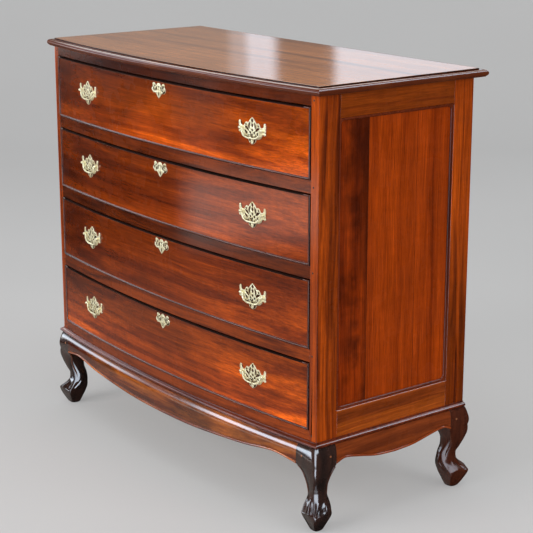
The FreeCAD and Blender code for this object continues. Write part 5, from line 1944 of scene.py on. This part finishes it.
@dataclass
class Studio:
    """Pale floor that turns up into a backdrop, soft lamps, world and camera."""

    azimuth: float = 52.45
    elevation: float = 15.08
    stand: tuple[float, float, float] = (2.9917, -2.2344, 1.4712)
    lens: float = 104.45
    floor_ends: tuple[float, float] = (-9.0, 4.0)
    floor_side: float = 14.0
    sweep: float = 2.5
    wall_top: float = 9.0
    paper: tuple[float, float] = (0.56, 0.72)
    paper_share: float = 0.38
    panes: Sequence[Pane] = (
        # two windows behind the chest and the pale wall round them, which the top reflects
        Pane(-0.0245, -0.0130, 0.04, 0.30, 0.24, 0.003, cool=True),
        Pane(-0.0130, 0.0068, 0.04, 0.30, 0.95, 0.003, cool=True),
        Pane(0.044, 0.150, 0.04, 0.30, 1.0, 0.003, cool=True),
        Pane(-0.9, -0.010, 0.05, 0.30, 0.32),
        Pane(-0.006, 0.9, 0.05, 0.30, 0.20),
        # soft patches that the drawer fronts reflect
        Pane(-1.06, -0.80, -0.118, -0.03, 1.3, 0.05, 0.006),
        Pane(-1.40, -1.29, -0.20, 0.0, 0.25, 0.04, 0.05),
        Pane(-1.85, -1.31, -0.245, -0.203, 1.15, 0.03, 0.008),
        Pane(-2.1, -0.6, -0.9, -0.262, 0.20, 0.2, 0.02),
        # low and high windows for the aprons and mouldings
        Pane(-1.24, -0.96, -0.08, 0.09, 3.8, 0.05, 0.03, True),
        Pane(-1.75, -1.42, -0.08, 0.13, 6.5, 0.04, 0.03, True),
        Pane(-1.40, -1.26, -0.07, 0.03, 0.9, 0.04, 0.025, True),
        Pane(-1.75, -0.95, 0.10, 0.24, 0.5, 0.15, 0.05),
        Pane(-1.45, -0.70, 0.38, 0.60, 2.8, 0.08, 0.04, True),
        Pane(-0.60, 0.62, 0.40, 0.72, 3.2, 0.05, 0.02),
        Pane(1.0, 1.65, 0.60, 0.80, 6.5, 0.05, 0.02, True),
        # behind the camera, for arrises and knees
        Pane(-3.3, -2.55, -0.70, 0.90, 5.0, 0.12, 0.25, True),
        Pane(2.5, 3.3, 0.40, 0.90, 5.0, 0.05, 0.05, True))

    def floor(self) -> None:
        """A floor that sweeps up behind: flat, then a quarter turn, then upright."""
        near, far = self.floor_ends
        flat = np.linspace(near, far, 24)
        turn = np.linspace(0, 1, 40)[1:] * math.pi / 2
        along = np.concatenate([flat, far + self.sweep * np.sin(turn), [far + self.sweep]])
        up = np.concatenate([np.zeros(len(flat)), self.sweep * (1 - np.cos(turn)), [self.wall_top]])
        across = np.linspace(-self.floor_side, self.floor_side, 12)
        back = math.radians(self.azimuth)
        forward = np.array([-math.sin(back), math.cos(back), 0.0])
        side = np.array([math.cos(back), math.sin(back), 0.0])
        grid = (along[:, None, None] * forward + across[None, :, None] * side
                + up[:, None, None] * np.array([0, 0, 1.0]))
        mesh = bpy.data.meshes.new("studio_floor")
        mesh.from_pydata(grid.reshape(-1, 3).tolist(), [], lattice(len(along), len(across), False, False))
        mesh.polygons.foreach_set("use_smooth", np.ones(len(mesh.polygons), bool))
        obj = bpy.data.objects.new("studio_floor", mesh)
        bpy.context.scene.collection.objects.link(obj)
        obj.visible_glossy = False
        obj.data.materials.append(self.backdrop(forward, side))

    def backdrop(self, forward: Array, side: Array) -> bpy.types.Material:
        """Grey paper that glows a little to the camera, more near it and to its right.

        Args:
            forward: level direction away from the camera.
            side: level direction to its right.

        Returns:
            The material.
        """
        g = Graph(bpy.data.materials.new("studio_paper"))
        here = g.add("TexCoord").outputs["Object"]
        cloud = g.fit(g.noise(here, 0.8, 2.0), 0.3, 0.7, 0.97, 1.02)
        paper = g.add("BsdfDiffuse", {"Color": g.tinted((0.60, 0.60, 0.60), g.grey(cloud))})
        level = g.times(g.fit(g.along(here, -forward), -4.0, 1.5, *self.paper),
                        g.fit(g.along(here, side), -2.5, 2.5, 0.95, 1.06))
        glow = g.add("Emission", {"Color": g.grey(level), "Strength": 1.0})
        seen = g.times(g.add("LightPath").outputs["Is Camera Ray"], self.paper_share)
        return g.output(g.add("MixShader", {0: seen, 1: paper.outputs[0], 2: glow.outputs[0]}))

    def lamp(self, name: str, at: tuple, target: tuple, size: tuple, power: float,
             colour: Colour = (1.0, 1.0, 1.0)) -> None:
        """One soft lamp.

        Args:
            name: the lamp's name.
            at: its place.
            target: what it points at.
            size: width and height.
            power: watts.
            colour: light colour.
        """
        data = bpy.data.lights.new(name, "AREA")
        data.shape = "RECTANGLE"
        data.size, data.size_y = size
        data.energy = power
        data.color = colour
        obj = bpy.data.objects.new(name, data)
        obj.location = at
        obj.rotation_euler = (Vector(target) - Vector(at)).to_track_quat("-Z", "Y").to_euler()
        obj.visible_glossy = False
        bpy.context.scene.collection.objects.link(obj)

    def world(self) -> None:
        """A grey world; glossy rays see the panes instead, windows and pale walls far off."""
        bpy.context.scene.world = bpy.data.worlds.new("studio_world")
        g = Graph(bpy.context.scene.world)
        look = g.add("TexCoord").outputs["Generated"]
        back = math.radians(self.azimuth)
        ahead = g.along(look, (-math.sin(back), math.cos(back), 0.0))
        right = g.along(look, (math.cos(back), math.sin(back), 0.0))
        wobble = g.times(g.less(g.noise(look, 30.0, 2.0), 0.5), 0.008)
        bearing = g.plus(g.math("ARCTAN2", right, ahead), wobble)
        rise = g.axis(look, 2)
        warm, cool = 0.01, 0.0
        for pane in self.panes:
            inside = g.times(g.inside(bearing, pane.left, pane.right, pane.soft),
                             g.inside(rise, pane.low, pane.high, pane.soft_up))
            shone = g.times(inside, pane.level)
            if pane.cool:
                cool = g.plus(cool, shone)
            else:
                warm = g.plus(warm, shone)
        light = g.vector("ADD", g.scaled((1.0, 0.98, 0.93), warm), g.scaled((0.86, 0.98, 1.13), cool))
        plain = g.add("Background", {"Color": (0.98, 0.99, 1.0, 1.0), "Strength": 0.62})
        glossy = g.add("Background", {"Color": light, "Strength": 1.0})
        seen = g.add("LightPath").outputs["Is Glossy Ray"]
        g.output(g.add("MixShader", {0: seen, 1: plain.outputs[0], 2: glossy.outputs[0]}))

    def camera(self) -> None:
        """The camera, on its stand."""
        data = bpy.data.cameras.new("camera")
        data.lens = self.lens
        data.sensor_width = 36
        data.clip_end = 60
        obj = bpy.data.objects.new("camera", data)
        a, e = math.radians(self.azimuth), math.radians(self.elevation)
        back = Vector((math.sin(a) * math.cos(e), -math.cos(a) * math.cos(e), math.sin(e)))
        obj.location = self.stand
        obj.rotation_mode = "QUATERNION"
        obj.rotation_quaternion = (-back).to_track_quat("-Z", "Y")
        bpy.context.scene.collection.objects.link(obj)
        bpy.context.scene.camera = obj

    def build(self) -> None:
        """Sets up the whole studio."""
        self.floor()
        self.lamp("key", (-0.4, -5.0, 2.6), (0, 0, 0.5), (3.2, 2.4), 130, (1.0, 0.98, 0.96))
        self.lamp("side", (4.6, 1.4, 2.8), (0, 0, 0.5), (2.4, 2.4), 40, (0.97, 0.98, 1.0))
        self.lamp("above", (0.2, -0.4, 4.6), (0, 0, 0.5), (3.0, 3.0), 30)
        self.world()
        self.camera()
        bpy.context.scene.view_settings.view_transform = "Standard"


def main() -> None:
    """Loads the frame, makes every piece in order and sets up the studio."""
    logging.basicConfig(level=logging.INFO, format="%(name)s: %(message)s")
    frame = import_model()
    shop = Workshop(frame["nodes"], Finishes())
    boards = Boards(shop)
    boards.carcass()
    mouldings = Mouldings(shop)
    mouldings.top()
    mouldings.astragal()
    mouldings.panel_moulding()
    aprons = Aprons(shop)
    aprons.front()
    aprons.sides()
    legs = CabrioleLegs(shop, aprons)
    legs.build()
    legs.pegs()
    brasses = Brasses(shop)
    for number in (1, 2, 3, 4):
        boards.drawer(number)
        mouldings.cockbead(number)
        brasses.build(number)
    Studio().build()


if __name__ == "__main__":
    main()
